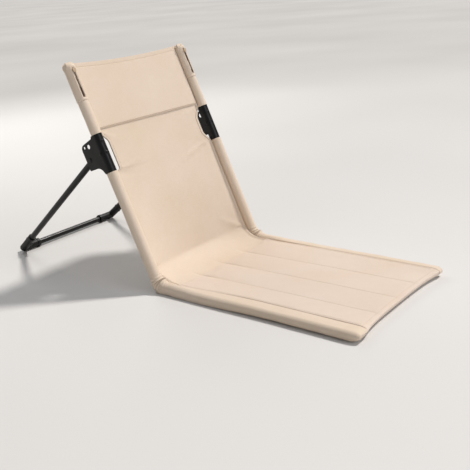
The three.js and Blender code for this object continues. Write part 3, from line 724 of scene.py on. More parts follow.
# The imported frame

@dataclass(frozen=True)
class ChairFrame:
    """Places and directions that the cloth follows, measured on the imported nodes.

    Attributes:
        nodes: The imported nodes.
        bend: Where the side tubes' axes would meet, on the middle plane.
        up: Direction up the back.
        front: Direction out of the back, towards the sitter.
        tube_x: Distance of a side tube from the middle plane.
        radius: Outer radius of a sleeve.
    """

    nodes: dict
    bend: np.ndarray
    up: np.ndarray
    front: np.ndarray
    tube_x: float
    radius: float

    @classmethod
    def measured(cls, frame: dict) -> "ChairFrame":
        """Measures the frame.

        Args:
            frame: What the loader returned.

        Returns:
            The chair's places and directions.
        """
        joints = {joint["name"]: joint for joint in frame["joints"]}
        up = np.array(joints["zip_slide_left"]["axis"], float)
        up /= np.linalg.norm(up)
        low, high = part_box("back_tube_right")
        middle = np.array((low + high) / 2)
        seat_low, seat_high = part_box("seat_tube_right")
        axis_height = (seat_low.z + seat_high.z) / 2
        bend = middle - up * (middle[2] - axis_height) / up[2]
        bend[0] = 0
        sleeve_low, sleeve_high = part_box("back_sleeve_lower_right")
        return cls(frame["nodes"], bend, up, np.array([0.0, -up[2], up[1]]), middle[0],
                   (sleeve_high.x - sleeve_low.x) / 2)

    def points(self, node: str) -> np.ndarray:
        """A node's corners, measured from the bend."""
        return coordinates(self.nodes[node].data) - self.bend

    def span(self, node: str, direction: np.ndarray) -> tuple[float, float]:
        """How far a node reaches along a direction, from the bend."""
        reached = self.points(node) @ direction
        return float(reached.min()), float(reached.max())

    def forward_of(self, points: np.ndarray) -> np.ndarray:
        """How far points lie forward from the bend."""
        return self.bend[1] - points[..., 1]

    def on_back(self, x: np.ndarray, place: np.ndarray, lift: np.ndarray) -> np.ndarray:
        """Points on the back.

        Args:
            x: Distance across the chair.
            place: Distance up the back from the bend.
            lift: Distance in front of the side tubes' axes.

        Returns:
            The points, in the frame.
        """
        x, place, lift = (a[..., None] for a in np.broadcast_arrays(x, place, lift))
        return self.bend + x * ACROSS + place * self.up + lift * self.front

    def on_seat(self, x: np.ndarray, place: np.ndarray, lift: np.ndarray) -> np.ndarray:
        """Points on the seat.

        Args:
            x: Distance across the chair.
            place: Distance forward from the bend.
            lift: Height above the side tubes' axes.

        Returns:
            The points, in the frame.
        """
        x, place, lift = np.broadcast_arrays(x, place, lift)
        return self.bend + np.stack([x, -place, lift], axis=-1)


# Seams and fittings that repeat

class Repeats:
    """A Geometry Nodes tree for what repeats along a line, with the unit shapes that it repeats."""

    LINE_SIZES = ("Pitch", "Length", "Width", "Height")
    SMALLEST, LARGEST = 0.9, 1.08      # the random size of a repeated shape

    def __init__(self) -> None:
        """Builds the tree and the unit shapes."""
        self.tree = bpy.data.node_groups.new("repeat_along_line", "GeometryNodeTree")
        kinds = {"Geometry": "Geometry", "Unit": "Object", **dict.fromkeys(self.LINE_SIZES, "Float"),
                 "Seed": "Int", "Finish": "Material"}
        for name, kind in kinds.items():
            self.tree.interface.new_socket(name, in_out="INPUT", socket_type=f"NodeSocket{kind}")
        self.tree.interface.new_socket("Geometry", in_out="OUTPUT", socket_type="NodeSocketGeometry")
        self.fill_tree()
        self.stitch = self.unit_shape("unit_stitch", self.capsule())
        self.tooth = self.unit_shape("unit_tooth", self.tooth_shape())

    def fill_tree(self) -> None:
        """Unit shapes at even steps along a line, turned to it and to its stored facing."""
        tree = self.tree
        given = add_node(tree, "NodeGroupInput").outputs
        curve = add_node(tree, "GeometryNodeMeshToCurve", links={"Mesh": given["Geometry"]})
        even = add_node(tree, "GeometryNodeResampleCurve", {"mode": "LENGTH"}, {
            "Curve": curve.outputs["Curve"], "Length": given["Pitch"]})
        unit = add_node(tree, "GeometryNodeObjectInfo", links={"Object": given["Unit"]})
        stored = add_node(tree, "GeometryNodeInputNamedAttribute",
                          {"data_type": "FLOAT_VECTOR", "Name": "facing"})
        tangent = add_node(tree, "GeometryNodeInputTangent")
        along = add_node(tree, "FunctionNodeAlignRotationToVector", {"axis": "X"},
                         {"Vector": tangent.outputs["Tangent"]})
        turned = add_node(tree, "FunctionNodeAlignRotationToVector", {"axis": "Z", "pivot_axis": "X"}, {
            "Rotation": along.outputs["Rotation"], "Vector": stored.outputs["Attribute"]})
        size = add_node(tree, "ShaderNodeCombineXYZ", links={
            "X": given["Length"], "Y": given["Width"], "Z": given["Height"]})
        vary = add_node(tree, "FunctionNodeRandomValue",
                        {"data_type": "FLOAT", 2: self.SMALLEST, 3: self.LARGEST}, {"Seed": given["Seed"]})
        scale = add_node(tree, "ShaderNodeVectorMath", {"operation": "SCALE"}, {
            0: size.outputs["Vector"], "Scale": vary.outputs[1]})
        placed = add_node(tree, "GeometryNodeInstanceOnPoints", links={
            "Points": even.outputs["Curve"], "Instance": unit.outputs["Geometry"],
            "Rotation": turned.outputs["Rotation"], "Scale": scale.outputs["Vector"]})
        real = add_node(tree, "GeometryNodeRealizeInstances", links={"Geometry": placed.outputs["Instances"]})
        painted = add_node(tree, "GeometryNodeSetMaterial", links={
            "Geometry": real.outputs["Geometry"], "Material": given["Finish"]})
        add_node(tree, "NodeGroupOutput", links={"Geometry": painted.outputs["Geometry"]})

    @staticmethod
    def unit_shape(name: str, rings: Sequence[Sequence[tuple[float, float, float]]]) -> bpy.types.Object:
        """Skins a unit shape over its rings and keeps it out of the picture.

        Args:
            name: The shape's name.
            rings: The corners of each ring. A ring of one corner is a tip.

        Returns:
            The shape.
        """
        build = bmesh.new()
        corners = [[build.verts.new(corner) for corner in ring] for ring in rings]
        for low, high in zip(corners, corners[1:]):
            sides = max(len(low), len(high))
            for i in range(sides):
                j = (i + 1) % sides
                face = [low[i % len(low)], low[j % len(low)], high[j % len(high)], high[i % len(high)]]
                build.faces.new(list(dict.fromkeys(face)))
        for ring in (corners[0], corners[-1]):
            if len(ring) > 1:
                build.faces.new(ring)
        bmesh.ops.recalc_face_normals(build, faces=build.faces)
        mesh = bpy.data.meshes.new(name)
        build.to_mesh(mesh)
        build.free()
        unit = shown(name, mesh, 60.0)
        unit.hide_render = True
        return unit

    @staticmethod
    def capsule(sides: int = 6) -> list[list[tuple[float, float, float]]]:
        """The rings of a stitch 1 long, 1 wide and 1 high, rounded at both ends.

        Args:
            sides: Corners of a ring.

        Returns:
            The corners of each ring, from tip to tip.
        """
        outline = ((0, -0.5), (0.32, -0.42), (0.5, -0.2), (0.5, 0.2), (0.32, 0.42), (0, 0.5))
        angles = [2 * math.pi * i / sides for i in range(sides)]
        return [[(along, radius * math.sin(angle), -radius * math.cos(angle))
                 for angle in (angles if radius else angles[:1])] for radius, along in outline]

    @staticmethod
    def tooth_shape() -> list[list[tuple[float, float, float]]]:
        """The rings of a zip tooth: one slanted loop of the coil, 1 long, 1 wide and 1 high.

        Returns:
            The corners of each ring, from its foot up.
        """
        outline = ((-0.5, -0.5), (0.1, -0.5), (0.5, 0.5), (-0.1, 0.5))
        levels = ((0.0, 1.0), (0.7, 1.0), (1.0, 0.6))
        return [[(x * size, y * size, z) for x, y in outline] for z, size in levels]

    def made_real(self, piece: bpy.types.Object, values: dict) -> bpy.types.Object:
        """Runs the tree on a host and keeps its result as a plain mesh.

        Args:
            piece: The host.
            values: The tree's inputs by name.

        Returns:
            The host, with the result as its mesh.
        """
        modifier = piece.modifiers.new(self.tree.name, "NODES")
        modifier.node_group = self.tree
        for item in self.tree.interface.items_tree:
            if item.in_out == "INPUT" and item.name in values:
                modifier[item.identifier] = values[item.name]
        bpy.context.view_layer.update()
        graph = bpy.context.evaluated_depsgraph_get()
        mesh = bpy.data.meshes.new_from_object(piece.evaluated_get(graph))
        piece.modifiers.remove(modifier)
        piece.data = mesh
        return piece

    def along(self, name: str, unit: bpy.types.Object, lines: Sequence[np.ndarray],
              normals: Sequence[np.ndarray], finish: bpy.types.Material, sizes: Sequence[float],
              seed: int) -> bpy.types.Object:
        """Repeats a unit shape along lines.

        Args:
            name: The piece's name.
            unit: The unit shape.
            lines: Points of each line.
            normals: The facing at each point.
            finish: The material.
            sizes: Pitch, length, width and height.
            seed: Picks the random sizes.

        Returns:
            The shapes, as one mesh.
        """
        mesh = bpy.data.meshes.new(name)
        mesh.from_pydata([tuple(p) for p in np.concatenate(lines)], chained(lines), [])
        stored = mesh.attributes.new("facing", "FLOAT_VECTOR", "POINT")
        stored.data.foreach_set("vector", np.concatenate(normals).astype(np.float32).ravel())
        values = {**dict(zip(self.LINE_SIZES, sizes)), "Unit": unit, "Seed": seed, "Finish": finish}
        return self.made_real(linked(name, mesh), values)

    def cleared(self) -> None:
        """Removes the unit shapes, once nothing needs them."""
        for unit in (self.stitch, self.tooth):
            bpy.data.objects.remove(unit)


def chained(lines: Sequence[np.ndarray]) -> list[tuple[int, int]]:
    """The edges that join each line's points in turn."""
    starts = np.cumsum([0, *(len(line) for line in lines)])
    return [(int(i), int(i) + 1) for start, end in zip(starts, starts[1:]) for i in range(start, end - 1)]


# Padding

@dataclass(frozen=True)
class Air:
    """How a pad is blown up in the cloth simulation.

    Attributes:
        pressure: The simulation's pressure.
        shrink: Share by which the cloth draws in, which puckers it at its seams.
        cap: The most that a point may move.
        frames: Length of the simulation.
    """

    pressure: float
    shrink: float
    cap: float = 0.0040
    frames: int = 20
    cloth: tuple[tuple[str, float], ...] = (
        ("quality", 5), ("mass", 0.25), ("tension_stiffness", 20), ("compression_stiffness", 12),
        ("shear_stiffness", 6), ("bending_stiffness", 0.6))

    def blow_up(self, piece: bpy.types.Object, held: np.ndarray) -> None:
        """Swells a pad between its seams and keeps the result in its mesh.

        Args:
            piece: The pad.
            held: For each point, from 0 where it is free to 1 where it is sewn down.
        """
        rest = coordinates(piece.data)
        group = piece.vertex_groups.new(name="sewn")
        for index in np.flatnonzero(held > 0):
            group.add([int(index)], float(held[index]), "REPLACE")
        modifier = piece.modifiers.new("swell", "CLOTH")
        settings = modifier.settings
        for name, value in self.cloth:
            setattr(settings, name, value)
        settings.vertex_group_mass = group.name
        settings.use_pressure = True
        settings.uniform_pressure_force = self.pressure
        settings.shrink_min = self.shrink
        settings.effector_weights.gravity = 0
        modifier.point_cache.frame_start = 1
        modifier.point_cache.frame_end = self.frames
        scene = bpy.context.scene
        for number in range(1, self.frames + 1):
            scene.frame_set(number)
        swollen = piece.evaluated_get(bpy.context.evaluated_depsgraph_get())
        change = coordinates(swollen.to_mesh()) - rest
        swollen.to_mesh_clear()
        piece.modifiers.remove(modifier)
        piece.vertex_groups.remove(group)
        scene.frame_set(1)
        size = np.linalg.norm(change, axis=1, keepdims=True)
        log.info("%s swells by up to %.1f mm", piece.name, float(size.max()) * 1000)
        result = rest + change * np.minimum(1, self.cap / np.maximum(size, 1e-9))
        result[:, 2] = np.maximum(result[:, 2], 0)
        piece.data.vertices.foreach_set("co", result.ravel())
        piece.data.update()


# Back

@dataclass(frozen=True)
class Cutout:
    """How the back's edge is drawn in beside a bracket, with its bound edge.

    Attributes:
        depth: How far at most.
        past_low: How far it starts below the bracket.
        run_low: Length over which it deepens from there.
        past_high: How far it ends above the bracket.
        run_high: Length over which it gets shallow towards there.
    """

    depth: float
    past_low: float
    run_low: float
    past_high: float
    run_high: float


@dataclass(frozen=True)
class Wrinkle:
    """A soft fold that a tight corner pulls into the cloth, from where it is held to where it fades.

    Attributes:
        start: Its held end, as distance across the chair and distance from the bend.
        end: Where it has faded.
        height: Its height.
        width: Its half width.
        rises: Shares of its length where it starts and has its full height.
        fades: Shares of its length where it begins to fade and is gone.
        narrow: Share of its width at the held end.
        widens: By how much more of its width it is wider where it has faded.
    """

    start: tuple[float, float]
    end: tuple[float, float]
    height: float
    width: float
    rises: tuple[float, float] = (-0.06, 0.12)
    fades: tuple[float, float] = (0.3, 1.0)
    narrow: float = 0.6
    widens: float = 0.9

    def at(self, x: np.ndarray, place: np.ndarray) -> np.ndarray:
        """The fold's height at places on the cloth.

        Args:
            x: Distance across the chair.
            place: Distance from the bend.

        Returns:
            The height at each point.
        """
        run_x, run_place = self.end[0] - self.start[0], self.end[1] - self.start[1]
        length = math.hypot(run_x, run_place)
        x, place = x - self.start[0], place - self.start[1]
        along = (x * run_x + place * run_place) / length ** 2
        off = (x * run_place - place * run_x) / length
        width = self.width * (self.narrow + self.widens * np.clip(along, 0, 1))
        return self.height * ramp(along, *self.rises) * (1 - ramp(along, *self.fades)) * bell(off, width)


# Folds of the back's cloth: from the brackets' lower corners, their upper corners and the bend.
PULLED = (
    Wrinkle((0.148, 0.286), (0.020, 0.246), 0.0017, 0.0064),
    Wrinkle((0.150, 0.276), (0.060, 0.236), -0.0011, 0.0072),
    Wrinkle((-0.156, 0.279), (-0.075, 0.302), 0.0009, 0.0064),
    Wrinkle((-0.158, 0.272), (-0.085, 0.262), -0.0007, 0.0068),
    Wrinkle((0.150, 0.372), (0.075, 0.345), 0.0011, 0.0060),
    Wrinkle((-0.166, 0.376), (-0.110, 0.340), 0.0010, 0.0060),
    Wrinkle((-0.168, 0.040), (-0.080, 0.105), 0.0020, 0.0070),
    Wrinkle((0.168, 0.040), (0.090, 0.095), 0.0020, 0.0070),
)
# Folds of the mat's cloth, gathered into its rear corners beside the bend.
GATHERED = (
    Wrinkle((-0.176, 0.034), (-0.128, 0.078), 0.0021, 0.0040),
    Wrinkle((-0.176, 0.040), (-0.142, 0.112), 0.0019, 0.0036),
    Wrinkle((-0.174, 0.036), (-0.118, 0.054), -0.0013, 0.0040),
    Wrinkle((0.176, 0.034), (0.130, 0.072), 0.0017, 0.0040),
    Wrinkle((0.176, 0.042), (0.148, 0.104), 0.0014, 0.0036),
)


@dataclass
class BackCloth:
    """The cloth of the back: one sheet from the top hem down through the bend to the mat.

    It sags a little between the side tubes, and low down it hollows into a pocket behind the hips.
    """

    chair: ChairFrame
    finishes: Finishes
    setback: float = 0.005           # front of the cloth, behind or under the tube axes
    thickness: float = 0.0024
    least_height: float = 0.0006     # of its rear above the ground
    sag: float = 0.005
    headrest_sag_share: float = 0.4
    headrest_blend: float = 0.02     # length over which the sag changes, either side of the headrest's seam
    pocket: float = 0.040
    pocket_reach: float = 0.330
    bend_full_share: float = 0.62    # how far the bend's curve follows the straight back and mat
    bend_rows: int = 34
    bend_inset: float = 0.0037       # by which the edges draw in, halfway through the bend
    seat_level: float = 0.0005       # of its front edge above the tube axes, where the mat takes over
    side_rise: float = 0.0070        # of that edge beside the sleeves
    side_power: int = 7
    seam_count: int = 3
    seam_depth: float = 0.0026       # of the mat's seams, where they run on into the bend
    seam_width: float = 0.008
    seam_run: tuple[float, float] = (0.72, 0.98)   # shares of the bend over which they deepen
    top_sag: float = 0.006
    ridge: float = 0.0022            # seam ridge beside a sleeve
    ridge_inset: float = 0.0042
    ridge_width: float = 0.0019
    gutter: float = 0.0009           # dip on the ridge's inner side
    gutter_inset: float = 0.0048     # from the ridge
    gutter_width: float = 0.0013
    edge_dip: float = 0.0016         # of the very edge, and its width
    left_cutout: Cutout = Cutout(0.0198, 0.005, 0.010, 0.010, 0.034)
    right_cutout: Cutout = Cutout(0.0196, 0.006, 0.036, 0.007, 0.036)
    cutout_blend: float = 0.004      # depth of a cut-out at which the seam ridge has ended
    swell: float = 0.0011            # uneven stretch of the cloth
    swell_size: float = 0.11
    swell_grain: tuple[float, float, float] = (1.0, 1.0, 0.6)
    seed: float = 3.7
    calm: float = 0.05               # width of the calmer cloth beside the seams
    columns: Steps = Steps(0.007, 0.0009, 0.016)
    rows: Steps = Steps(0.0055, 0.0016, 0.022)

    def __post_init__(self) -> None:
        """Measures the nodes that the sheet stands for."""
        chair = self.chair
        self.reach = chair.span("seat_sleeve_right", FORWARD)[0]
        self.bracket_low, self.bracket_high = chair.span("bracket_right", chair.up)
        self.headrest_low = chair.span("headrest_cover", chair.up)[0]
        self.top = chair.span("back_sleeve_cap_right", chair.up)[1]
        self.hem_top = self.top - TOUCH * 4
        self.edge = chair.tube_x - TOUCH - math.sqrt(chair.radius ** 2 - self.setback ** 2)

    def cutout(self, place: np.ndarray, side: Side) -> np.ndarray:
        """How far the sheet's edge is drawn in beside a bracket.

        Args:
            place: Distance up the back from the bend.
            side: The side of the chair.

        Returns:
            The depth at each place.
        """
        shape = self.left_cutout if side is Side.LEFT else self.right_cutout
        low, high = self.bracket_low - shape.past_low, self.bracket_high + shape.past_high
        below, above = ramp(place, low, low + shape.run_low), ramp(-place, -high, -high + shape.run_high)
        return shape.depth * below * above

    def lift(self, w: np.ndarray, place: np.ndarray) -> np.ndarray:
        """The sheet's front, before the side tubes' axes.

        Args:
            w: From -1 at the left edge to 1 at the right.
            place: Distance up the back from the bend.

        Returns:
            Distance in front of the axes, below 0 behind them.
        """
        bow = 1 - w ** 2
        pocket = np.maximum(0, 1 - place / self.pocket_reach) ** 2
        low, high = self.headrest_low - self.headrest_blend, self.headrest_low + self.headrest_blend
        share = 1 + (self.headrest_sag_share - 1) * ramp(place, low, high)
        return -self.setback - bow * (self.sag * share + self.pocket * pocket)

    def stretch(self, w: np.ndarray, place: np.ndarray) -> np.ndarray:
        """Share of a place's distance from the bend that is left where the top edge sags."""
        return 1 - self.top_sag * (1 - w ** 2) * ramp(place, self.headrest_low, self.top) / self.top

    def bend_curve(self, w: np.ndarray, share: np.ndarray) -> np.ndarray:
        """Points through the bend, from the back at share 0 to the mat at share 1, in the side plane.

        Args:
            w: From -1 at the left edge to 1 at the right.
            share: Share of the way through the bend.

        Returns:
            Y and Z of each point, from the bend.
        """
        start = self.side_plane(w, self.reach)
        down = start - self.side_plane(w, self.reach + 0.001)
        end = np.stack([np.full_like(w, -self.reach), self.level_at_mat(w)], axis=-1)
        corner = start + down * ((end[..., 1] - start[..., 1]) / down[..., 1])[..., None]
        first = start + (corner - start) * self.bend_full_share
        second = end + (corner - end) * self.bend_full_share
        return bezier(share[..., None], (start, first, second, end))

    def level_at_mat(self, w: np.ndarray) -> np.ndarray:
        """Height of the sheet's front edge above the tubes' axes, higher beside the sleeves."""
        return self.seat_level + self.side_rise * np.abs(w) ** self.side_power

    def side_plane(self, w: np.ndarray, place: float) -> np.ndarray:
        """A place of the sheet's front as Y and Z from the bend."""
        front = self.lift(w, np.full_like(w, place))
        return place * self.chair.up[1:] + front[..., None] * self.chair.front[1:]

    def front_grid(self) -> np.ndarray:
        """The sheet's front as rows from the top down and on through the bend.

        Returns:
            Rows by columns by 3.
        """
        chair, half = self.chair, self.edge
        seams = even_seams(half, self.seam_count)
        across = self.columns.spread(-half, half, (-half, *seams, half)) / half
        dense = (self.bracket_low, self.bracket_high, self.headrest_low)
        w, place = np.meshgrid(across, self.rows.spread(self.reach, self.hem_top, dense)[::-1])
        cutout = np.where(w > 0, self.cutout(place, Side.RIGHT), self.cutout(place, Side.LEFT))
        edge = half - cutout
        upper = chair.on_back(w * edge, place * self.stretch(w, place), self.lift(w, place))
        w2, share = np.meshgrid(across, np.linspace(0, 1, self.bend_rows)[1:])
        plane = self.bend_curve(w2, share)
        edge2 = half - TOUCH - self.bend_inset * np.sin(np.pi * share) ** 2
        lower = chair.bend + np.stack([w2 * edge2, plane[..., 0], plane[..., 1]], axis=-1)
        points = np.concatenate([upper, lower])
        inset = np.concatenate([edge * (1 - np.abs(w)), edge2 * (1 - np.abs(w2))])
        cut = np.concatenate([cutout, np.zeros_like(w2)])
        swells = rough(points * self.swell_grain, self.swell_size, self.seed)
        uneven = self.swell * ramp(inset, 0.0, self.calm) * swells
        raised = uneven + (1 - ramp(cut, 0.0, self.cutout_blend)) * self.edge_relief(inset)
        raised[:len(w)] += sum(wrinkle.at(w * edge, place) for wrinkle in PULLED)
        nearest = np.min([np.abs(w2 * edge2 - seam) for seam in seams], axis=0)
        raised[len(w):] -= self.seam_depth * pinch(nearest, self.seam_width) * ramp(share, *self.seam_run)
        return points + self.outwards(points) * raised[..., None]

    def edge_relief(self, inset: np.ndarray) -> np.ndarray:
        """Height of the seam ridge beside a sleeve and of the dips on both its sides.

        Args:
            inset: Distance from the cloth's side edge.

        Returns:
            The height at each point.
        """
        off = inset - self.ridge_inset
        dips = self.gutter * bell(off - self.gutter_inset, self.gutter_width)
        return self.ridge * bell(off, self.ridge_width) - dips - self.edge_dip * bell(inset, self.edge_dip)

    def outwards(self, points: np.ndarray) -> np.ndarray:
        """The grid's unit normals, turned to the sitter."""
        normals = facing(points)
        return normals if normals[0, points.shape[1] // 2] @ self.chair.front > 0 else -normals

    def build(self) -> None:
        """Builds and dresses the sheet."""
        front = self.front_grid()
        rear = front - self.outwards(front) * self.thickness
        rear[..., 2] = np.maximum(rear[..., 2], self.least_height)
        piece = cloth_object("back_cloth", slab(front, rear))
        dressed(piece, self.finishes.canvas)
        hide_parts("back_panel", "bend_panel")
        tuple(self.chair.on_seat(0, self.reach, 0))
        tuple(self.chair.on_back(0, self.reach, 0))
        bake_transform(piece)
        report(piece)
        self.piece = piece


def even_seams(half: float, count: int) -> list[float]:
    """Places of evenly spread seams between two edges."""
    return [half * (2 * (i + 1) / (count + 1) - 1) for i in range(count)]


def bezier(share: np.ndarray, ends: Sequence[np.ndarray]) -> np.ndarray:
    """Points at shares along a cubic curve through its four ends.

    Args:
        share: Shares of the curve, from 0 to 1.
        ends: The curve's start, its two handles and its end.

    Returns:
        The points.
    """
    left = 1 - share
    weights = (left ** 3, 3 * share * left ** 2, 3 * share ** 2 * left, share ** 3)
    return sum(weight * end for weight, end in zip(weights, ends))


# Sleeves

@dataclass(frozen=True)
class Section:
    """A sleeve's section, as one value or one for each station.

    Attributes:
        high: Half size to the inner side of the bend.
        deep: Half size to the outer side of the bend.
        outwards: Half size away from the mat.
        inwards: Half size towards the mat.
        drop: How far it lies to the outer side of the bend.
        square_in: How square its corner is at the mat's top.
        square_out: How square its corner is on the ground.
    """

    high: np.ndarray | float
    deep: np.ndarray | float
    outwards: np.ndarray | float
    inwards: np.ndarray | float
    drop: np.ndarray | float = 0.0
    square_in: np.ndarray | float = 0.0
    square_out: np.ndarray | float = 0.0

    def columns(self) -> list[np.ndarray]:
        """Each value as a column with a row for each station."""
        return [np.reshape(value, (-1, 1)) for value in astuple(self)]


@dataclass
class SideSleeve:
    """The padded sleeve of one side: along the seat, gathered through the bend and up to the bracket.

    On the seat its inner side fills out to meet the mat in a thin seam, and its front end lies flat.
    Its runs are pairs of distances from the bend, between which a shape changes.
    """

    chair: ChairFrame
    finishes: Finishes
    side: Side
    snug: float = 0.0104             # half size where it is drawn tight over the seat's tube
    top_run: tuple[float, float] = (0.03, 0.13)      # where its top tightens
    low_run: tuple[float, float] = (0.12, 0.32)      # and its underside and outer side
    front_round: float = 0.022       # length over which its front end flattens
    hem_half: float = 0.0017         # half the thickness left at the tip
    hem_rise: float = 0.0016         # of the tip, above the tube's axis
    corner_narrow: float = 0.026     # length over which its outer side draws in
    corner_share: float = 0.30       # of the outer half width, left at the tip
    corner_reach: float = 0.026      # where the curve of the bend starts
    bend_pull: float = 0.0035
    bend_rows: int = 90
    gather_reach: float = 0.0145     # how far its gathers bulge either way from the bend
    outer_bulge: float = 0.0052      # of the gathers, on the outer side of the bend
    inner_bulge: float = 0.0072      # and over the hinge's pin on the inner side
    widen: float = 0.0012
    fold_depth: float = 0.0044
    fold_spacing: float = 0.0074
    fold_reach: float = 0.021
    left_twist: float = 0.014        # by which the twisted cover is wider on the left
    twist_run: tuple[float, float] = (0.06, 0.26)
    inner_power: float = 9.0         # of the square corner at the mat
    inner_run: tuple[float, float] = (0.05, 0.14)
    outer_power: float = 5.0         # and of the one on the ground
    outer_start: tuple[float, float] = (-0.004, 0.016)
    outer_run: tuple[float, float] = (0.10, 0.30)
    uneven: float = 0.0007
    uneven_size: float = 0.035
    uneven_grain: tuple[float, float, float] = (1.0, 0.45, 0.45)
    seed: float = 9.1
    ground_reach: float = 0.03       # how far up the back the ground still holds it
    end_wall: float = 0.0012         # of its upper end, which turns in over the tube
    end_lift: float = 0.0006
    end_depth: float = 0.008
    bore: float = 0.0099
    sides: int = 72
    seat_steps: Steps = Steps(0.006, 0.0010, 0.024)
    back_steps: Steps = Steps(0.006, 0.0010, 0.020)

    def __post_init__(self) -> None:
        """Measures the nodes that the sleeve stands for."""
        chair, word = self.chair, self.side.word
        self.seat_reach, self.seat_length = chair.span(f"seat_sleeve_{word}", FORWARD)
        self.back_end = chair.span(f"back_sleeve_lower_{word}", chair.up)[1]

    def stations(self) -> tuple[np.ndarray, np.ndarray, np.ndarray]:
        """Centres, inner directions and signed distances from the bend, from the seat's front up.

        Returns:
            The three, with a row or a value for each station.
        """
        up, corner, pull = self.chair.up, self.corner_reach, self.bend_pull
        low = self.seat_steps.spread(corner, self.seat_length, (corner, self.seat_length))[::-1]
        high = self.back_steps.spread(corner, self.back_end, (corner, self.back_end))
        share = np.linspace(0, 1, self.bend_rows)[1:-1, None]
        curve = bezier(share, (FORWARD * corner, FORWARD * pull, up * pull, up * corner))
        line = np.concatenate([low[:, None] * FORWARD, curve, high[:, None] * up])
        tangent = np.gradient(line, axis=0)
        tangent /= np.linalg.norm(tangent, axis=1, keepdims=True)
        run = np.concatenate([[0], np.cumsum(np.linalg.norm(np.diff(line, axis=0), axis=1))])
        middle = len(low) + len(curve) // 2
        return line + self.chair.bend, np.cross(ACROSS, tangent), run - run[middle]

    def folds(self, run: np.ndarray, angle: np.ndarray) -> np.ndarray:
        """Height of the bunched folds, crisp on the inner side and fading round the outer.

        They wander round the sleeve and differ in height, by waves that never fall into step.

        Args:
            run: Signed distance from the bend along the sleeve.
            angle: Angle round the sleeve, from its inner side.

        Returns:
            The height at each point.
        """
        side = self.side.value
        fade = bell(run + 0.004 * np.sin(angle), self.fold_reach)
        inner = 0.12 + 0.88 * np.clip(0.62 + 0.5 * np.cos(angle), 0, 1)
        wander = 0.5 * np.sin(angle + 0.9 * side) + 0.3 * np.sin(2.3 * angle + run * 90)
        phase = np.pi * run / self.fold_spacing + wander
        crease = np.abs(np.sin(phase)) ** 0.8 - 0.22
        uneven = 0.75 + 0.35 * np.sin(1.7 * phase + 1.1 + side)
        return self.fold_depth * fade * inner * crease * uneven

    def front_share(self, place: np.ndarray) -> np.ndarray:
        """1 along the seat, falling in a round end to 0 at the front."""
        return rounding(self.seat_length - place, self.front_round)

    def inner_reach(self, place: np.ndarray) -> np.ndarray:
        """Half width towards the mat. The cover sits twisted on the tubes, so the left is wider."""
        twist = self.left_twist if self.side is Side.LEFT else 0.0
        return self.chair.radius + twist * ramp(place, *self.twist_run)

    def section(self, place: np.ndarray, run: np.ndarray) -> Section:
        """The sleeve's section at each station.

        Args:
            place: Distance forward from the bend.
            run: Signed distance from the bend along the sleeve, below 0 on the seat.

        Returns:
            The sections.
        """
        radius, on_seat = self.chair.radius, run < 0
        swell = bell(run, self.gather_reach)
        front = np.where(on_seat, self.front_share(place), 1)
        narrow = np.where(on_seat, rounding(self.seat_length - place, self.corner_narrow), 1)
        top, low = (self.snug + (radius - self.snug) * np.where(on_seat, 1 - ramp(place, *tightens), 1)
                    for tightens in (self.top_run, self.low_run))
        return Section(
            high=self.hem_half + (top - self.hem_half) * front + self.inner_bulge * swell,
            deep=self.hem_half + (low - self.hem_half) * front + self.outer_bulge * swell,
            outwards=low * (self.corner_share + (1 - self.corner_share) * narrow) + self.widen * swell,
            inwards=np.where(on_seat, self.inner_reach(place), radius) + self.widen * swell,
            drop=-self.hem_rise * (1 - front),
            square_in=np.where(on_seat, ramp(place, *self.inner_run), 0),
            square_out=ramp(-run, *self.outer_start) * (1 - ramp(place, *self.outer_run)))

    def ring(self, centre: np.ndarray, inner: np.ndarray, shape: Section,
             folds: np.ndarray | float = 0.0) -> np.ndarray:
        """Rings round the stations.

        Args:
            centre: Centres.
            inner: Directions to the inner side of the bend.
            shape: The sections.
            folds: Height of the folds.

        Returns:
            Rows of ring points.
        """
        high, deep, outwards, inwards, drop, square_in, square_out = shape.columns()
        angle = turns(self.sides)
        sine, cosine = np.sin(angle), np.cos(angle)
        corner_in, corner_out = ((np.abs(sine) ** power + np.abs(cosine) ** power) ** (-1 / power) - 1
                                 for power in (self.inner_power, self.outer_power))
        full = 1 + corner_in * np.where((sine < 0) & (cosine > 0), square_in, 0)
        full = full + corner_out * np.where((sine > 0) & (cosine < 0), square_out, 0)
        sideways = (np.where(sine > 0, outwards, inwards) * full + folds) * sine
        upwards = (np.where(cosine > 0, high, deep) * full + folds) * cosine - drop
        out = ACROSS * self.side.value
        middle = centre + out * self.chair.tube_x
        return middle[:, None] + sideways[..., None] * out + upwards[..., None] * inner[:, None]

    def build(self) -> None:
        """Builds and dresses the sleeve."""
        chair, word = self.chair, self.side.word
        centre, inner, run = self.stations()
        place = chair.forward_of(centre)
        folds = self.folds(*np.meshgrid(run, turns(self.sides), indexing="ij"))
        outer = self.ring(centre, inner, self.section(place, run), folds)
        seed = self.seed + self.side.value
        outer = roughened(outer, self.uneven, self.uneven_size, seed, self.uneven_grain)
        low_rows = place > -self.ground_reach
        outer[low_rows, :, 2] = np.maximum(outer[low_rows, :, 2], 0.0)
        self.outer, self.places = outer, place
        ends = ((chair.radius - self.end_wall, self.end_lift), (self.bore, self.end_lift),
                (self.bore, -self.end_depth))
        hem = [self.ring(centre[-1:] + lift * chair.up, inner[-1:], Section(size, size, size, size))
               for size, lift in ends]
        patches = [Patch(np.concatenate([outer, *hem]), round=True), lid(outer[0])]
        piece = cloth_object(f"side_sleeve_{word}", patches, sharp=70)
        dressed(piece, self.finishes.canvas)
        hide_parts(f"seat_sleeve_{word}", f"bend_sleeve_{word}", f"back_sleeve_lower_{word}")
        tuple(chair.on_seat(0, self.seat_reach, 0))
        tuple(chair.on_back(0, self.seat_reach, 0))
        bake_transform(piece)
        report(piece)


